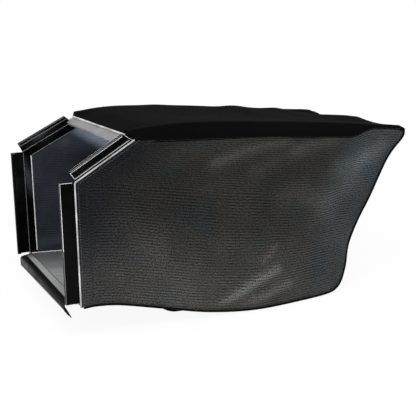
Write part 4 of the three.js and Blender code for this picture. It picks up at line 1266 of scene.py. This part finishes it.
# Painted highlights: pale lines on the strips' moulded edges. Four radii, and then the places of the lines on
# a strip
edgeLines = dict(
    fine=0.00055, root=0.0010, dim=0.0006, flange=0.0010,
    proud=0.0001, fromRim=0.0007, fromLip=0.0032, fromRoot=0.0064, insideRoot=0.0018, insideStep=0.0010,
    fromEnd=0.001, dimShare=0.45, topLineStart=0.006, lipCorner=0.0012, lipGap=0.004, rimGap=0.003,
    flangeLow=0.002, flangeHigh=0.008,
)


def stripLine(part, sign, y, *spots):  # a line at a given y through spots forward of the cloth and along it
    return inPlane([stripSpot(part, forward, along, sign) for forward, along in spots], y)


def drawSideStrip(sign, lines, values):
    outer, inner = sign * (stripFace + values["proud"]), sign * (stripFace - strip["wall"])
    low, high = strip["endGap"] + values["fromEnd"], strip["endGap"] + frontLength - values["fromEnd"]
    half = low + (high - low) * values["dimShare"]
    rim, inside, flange = strip["sideReach"] - values["fromRim"], values["insideRoot"], -strip["flange"]

    def add(kind, y, *spots):
        lines[kind].append(stripLine("side", sign, y, *spots))

    add("dim", outer, (rim, low), (rim, half))
    add("fine", outer, (rim, half), (rim, high), (values["topLineStart"], high))
    add("dim", inner - sign * values["insideStep"], (inside, low), (inside, high))
    add("dim", sign * hookFace, (rim, high), (rim - strip["hookLeg"], high))
    add("flange", inner, (flange, low + values["flangeLow"]), (flange, high - values["flangeHigh"]))


def drawShoulderStrip(sign, lines, values):
    inward = leftShoulder["inward"] if sign > 0 else 0.0
    outer = sign * (stripFace + values["proud"]) - inward
    inner = sign * (stripFace - strip["wall"]) - inward
    hook = sign * hookFace - inward
    start = strip["endGap"] + values["fromEnd"]
    end = shoulderLength - strip["shoulderShort"]
    reach, root, inside = strip["shoulderReach"], values["fromRoot"], values["insideRoot"]
    rim, lip, hookEdge = reach - values["fromRim"], reach - values["fromLip"], reach - strip["hookLeg"]
    rimEnd = end - strip["shoulderSlant"]

    def endAt(forward):  # the strip's slanted upper end
        return end - forward * strip["shoulderSlant"] / reach

    def add(kind, y, *spots):
        lines[kind].append(stripLine("shoulder", sign, y, *spots))

    past, lipEnd = lip - values["rimGap"], endAt(lip) - values["lipGap"]
    add("fine", outer, (root, start), (lip, start - values["lipCorner"]), (lip, lipEnd))
    add("fine", outer, (past, endAt(past)), (values["fromEnd"], end))
    add("dim", outer, (rim, start), (rim, rimEnd))
    add("root", outer, (root, start), (root, endAt(root) - values["rimGap"]))
    add("dim" if sign > 0 else "fine", hook, (hookEdge, start), (rim, start), (rim, rimEnd))
    add("dim", hook, (hookEdge, start), (hookEdge, endAt(hookEdge)))
    add("dim", inner - sign * values["insideStep"], (inside, start), (inside, end - values["rimGap"]))
    add("dim" if sign > 0 else "flange", inner, (-strip["flange"], start + values["flangeHigh"]),
        (-strip["flange"], end - values["fromEnd"]))


edgePaths = dict(fine=[], root=[], dim=[], flange=[])
for sign in (-1, 1):
    drawSideStrip(sign, edgePaths, edgeLines)
    drawShoulderStrip(sign, edgePaths, edgeLines)
edgeFinish = dict(fine="paleEdgeHighlight", root="rootEdgeHighlight", dim="dimEdgeHighlight", flange="paleEdgeHighlight")
for kind, material in edgeFinish.items():
    name = f"strip{kind.capitalize()}Edges"
    pieces[name] = growBead(name, edgePaths[kind], edgeLines[kind], material)


# The sill's seam line, pale beads on its side edges as painted highlights, and its corner tabs
sillLine = dict(radius=0.0005, short=0.010, sideRadius=0.0008, sideIn=0.0006, sideUp=0.0002,
                sideAt=(0.002, 0.035, 0.070, 0.104))


def sillPaths(values):
    reach = bag["sillHalfWidth"] - values["short"]
    seam = [(0.0, y, 0.0) for y in (-reach, reach)]
    slope = math.tan(math.radians(bag["sillSlope"]))
    edges = []
    for sign in (-1, 1):
        y = sign * (bag["sillHalfWidth"] - values["sideIn"])
        edges.append([(x, y, values["sideUp"] - x * slope) for x in values["sideAt"]])
    return [seam], edges


sillSeam, sillEdges = sillPaths(sillLine)
pieces["sillSeam"] = growBead("sillSeamLine", sillSeam, sillLine["radius"], "welt")
pieces["sillEdges"] = growBead("sillSideEdges", sillEdges, sillLine["sideRadius"], "paleEdgeHighlight")
lipTab = dict(forward=0.028, inset=0.017, top=0.006, bottom=0.015, tipForward=0.0185, tipInset=0.004,
              tipDrop=0.0265, thickness=0.0012, innerBend=(0.004, 0.006), outerBend=(0.0055, 0.001, 0.0015))


def makeLipTabs(values):
    points, faces = [], []
    for sign in (-1, 1):
        root = sign * (bag["sillHalfWidth"] - values["inset"])
        tipY = sign * (bag["sillHalfWidth"] - values["tipInset"])
        middle = (root + tipY) / 2
        front, low = -values["forward"], -values["bottom"]
        innerBack, innerDown = values["innerBend"]
        outerBack, outerOut, outerDown = values["outerBend"]
        outline = [(front, root, -values["top"]), (front, root, low),
                   (front + innerBack, middle, low - innerDown),
                   (-values["tipForward"], tipY, -values["tipDrop"]),
                   (front + outerBack, middle + sign * outerOut, low - outerDown)]
        start = len(points)
        for back in (0.0, values["thickness"]):
            points += [np.array((x + back, y, z)) + mouthFoot for x, y, z in outline]
        count = len(outline)
        near = [start + k for k in range(count)]
        far = [start + count + k for k in range(count)]
        rims = [(near[k], near[(k + 1) % count], far[(k + 1) % count], far[k]) for k in range(count)]
        sides = [tuple(near[::-1]), tuple(far), *rims]
        faces += sides if sign < 0 else [face[::-1] for face in sides]
    tabs = newMeshObject("sillLipTabs", points, faces, (finish["welt"],))
    shape = bmesh.new()
    shape.from_mesh(tabs.data)
    bmesh.ops.recalc_face_normals(shape, faces=shape.faces)
    shape.to_mesh(tabs.data)
    shape.free()
    return tabs


pieces["sillTabs"] = makeLipTabs(lipTab)
print("piping and edges made")


# What rides on the frame, and what it stands for
stands = dict(top="top_panel", bottom="bottom_panel", rear="rear_panel", rearWelt="rear_top_welt",
              topPiping="top_piping")
pairedNodes = dict(
    Side="side_panel", Band="mouth_hem", Tape="top_tape", Welt="side_welt", Piping="mouth_piping")
for side in ("right", "left"):
    for part, node in pairedNodes.items():
        stands[f"{side}{part}"] = f"{side}_{node}"
for key, piece in pieces.items():
    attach(piece, "root")
    if key in stands:
        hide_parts(stands[key])

print("pieces ride on the frame")


# A plain pale floor, a white surround and soft light
studio = dict(surround=0.50, floorShare=0.93, floorSize=14.0, floorColour=(0.92, 0.92, 0.92, 1),
              fadeStart=0.8, fadeEnd=3.0, aimHeight=0.18)
lamps = [  # place, size, watts and colour of each
    ((-0.9, -1.7, 2.3), 1.1, 46.0, (1.0, 0.99, 0.97)),
    ((1.9, -1.2, 1.3), 1.2, 22.0, (0.94, 0.97, 1.0)),
    ((-1.9, 0.4, 1.1), 1.0, 14.0, (0.97, 0.98, 1.0)),
    ((-1.5, -1.4, 0.12), 0.7, 9.0, (0.95, 0.97, 1.0)),
]


def makeFloor(values):
    size = values["floorSize"]
    corners = [(-size, -size, 0), (size, -size, 0), (size, size, 0), (-size, size, 0)]
    floor = newMeshObject("floor", corners, [(0, 1, 2, 3)])
    material = bpy.data.materials.new("paleFloor")
    material.use_nodes = True
    tree = material.node_tree
    tree.nodes.remove(tree.nodes["Principled BSDF"])
    white = addNode(tree, "ShaderNodeEmission", {"Color": (1, 1, 1, 1), "Strength": 1.0})
    matt = addNode(tree, "ShaderNodeBsdfDiffuse", {"Color": values["floorColour"]})
    path = addNode(tree, "ShaderNodeLightPath")
    spot = addNode(tree, "ShaderNodeTexCoord").outputs["Object"]
    distance = addNode(tree, "ShaderNodeVectorMath", {0: spot}, operation="LENGTH").outputs["Value"]
    fading = mapRange(tree, distance, values["fadeStart"], values["fadeEnd"], values["floorShare"], 1.0)
    share = mathNode(tree, "MULTIPLY", path.outputs["Is Camera Ray"], fading)
    mixed = addNode(tree, "ShaderNodeMixShader", {0: share})
    tree.links.new(matt.outputs[0], mixed.inputs[1])
    tree.links.new(white.outputs[0], mixed.inputs[2])
    tree.links.new(mixed.outputs[0], tree.nodes["Material Output"].inputs["Surface"])
    floor.data.materials.append(material)


def makeSurround(values):
    world = bpy.data.worlds.new("surround")
    bpy.context.scene.world = world
    world.use_nodes = True
    tree = world.node_tree
    path = addNode(tree, "ShaderNodeLightPath")
    seen = mathNode(tree, "MAXIMUM", path.outputs["Is Camera Ray"], path.outputs["Is Transmission Ray"])
    strength = mapRange(tree, seen, 0.0, 1.0, values["surround"], 1.0)
    background = tree.nodes["Background"]
    background.inputs["Color"].default_value = (1, 1, 1, 1)
    tree.links.new(strength, background.inputs["Strength"])


def makeLamp(name, size, watts, colour, place, aim):
    data = bpy.data.lights.new(name, "AREA")
    data.size = size
    data.energy = watts
    data.color = colour
    lamp = bpy.data.objects.new(name, data)
    bpy.context.scene.collection.objects.link(lamp)
    lamp.location = place
    lamp.rotation_euler = (Vector(aim) - Vector(place)).to_track_quat("-Z", "Y").to_euler()
    return lamp


# A small lamp inside stands in for the daylight that comes through the mesh.
fill = dict(place=(0.110, -0.130, 0.190), aim=(0.150, 0.187, 0.262), size=0.08, watts=0.40,
            colour=(0.80, 0.88, 1.0))

makeFloor(studio)
makeSurround(studio)
for number, (place, size, watts, colour) in enumerate(lamps):
    makeLamp(f"lamp{number}", size, watts, colour, place, (0, 0, studio["aimHeight"]))
fillPlace, fillAim = (np.array(fill[key]) + mouthFoot for key in ("place", "aim"))
fillLamp = makeLamp("fillLamp", fill["size"], fill["watts"], fill["colour"], fillPlace, fillAim)
fillLamp.visible_camera = False
bpy.context.scene.view_settings.view_transform = "Standard"
print("studio made")
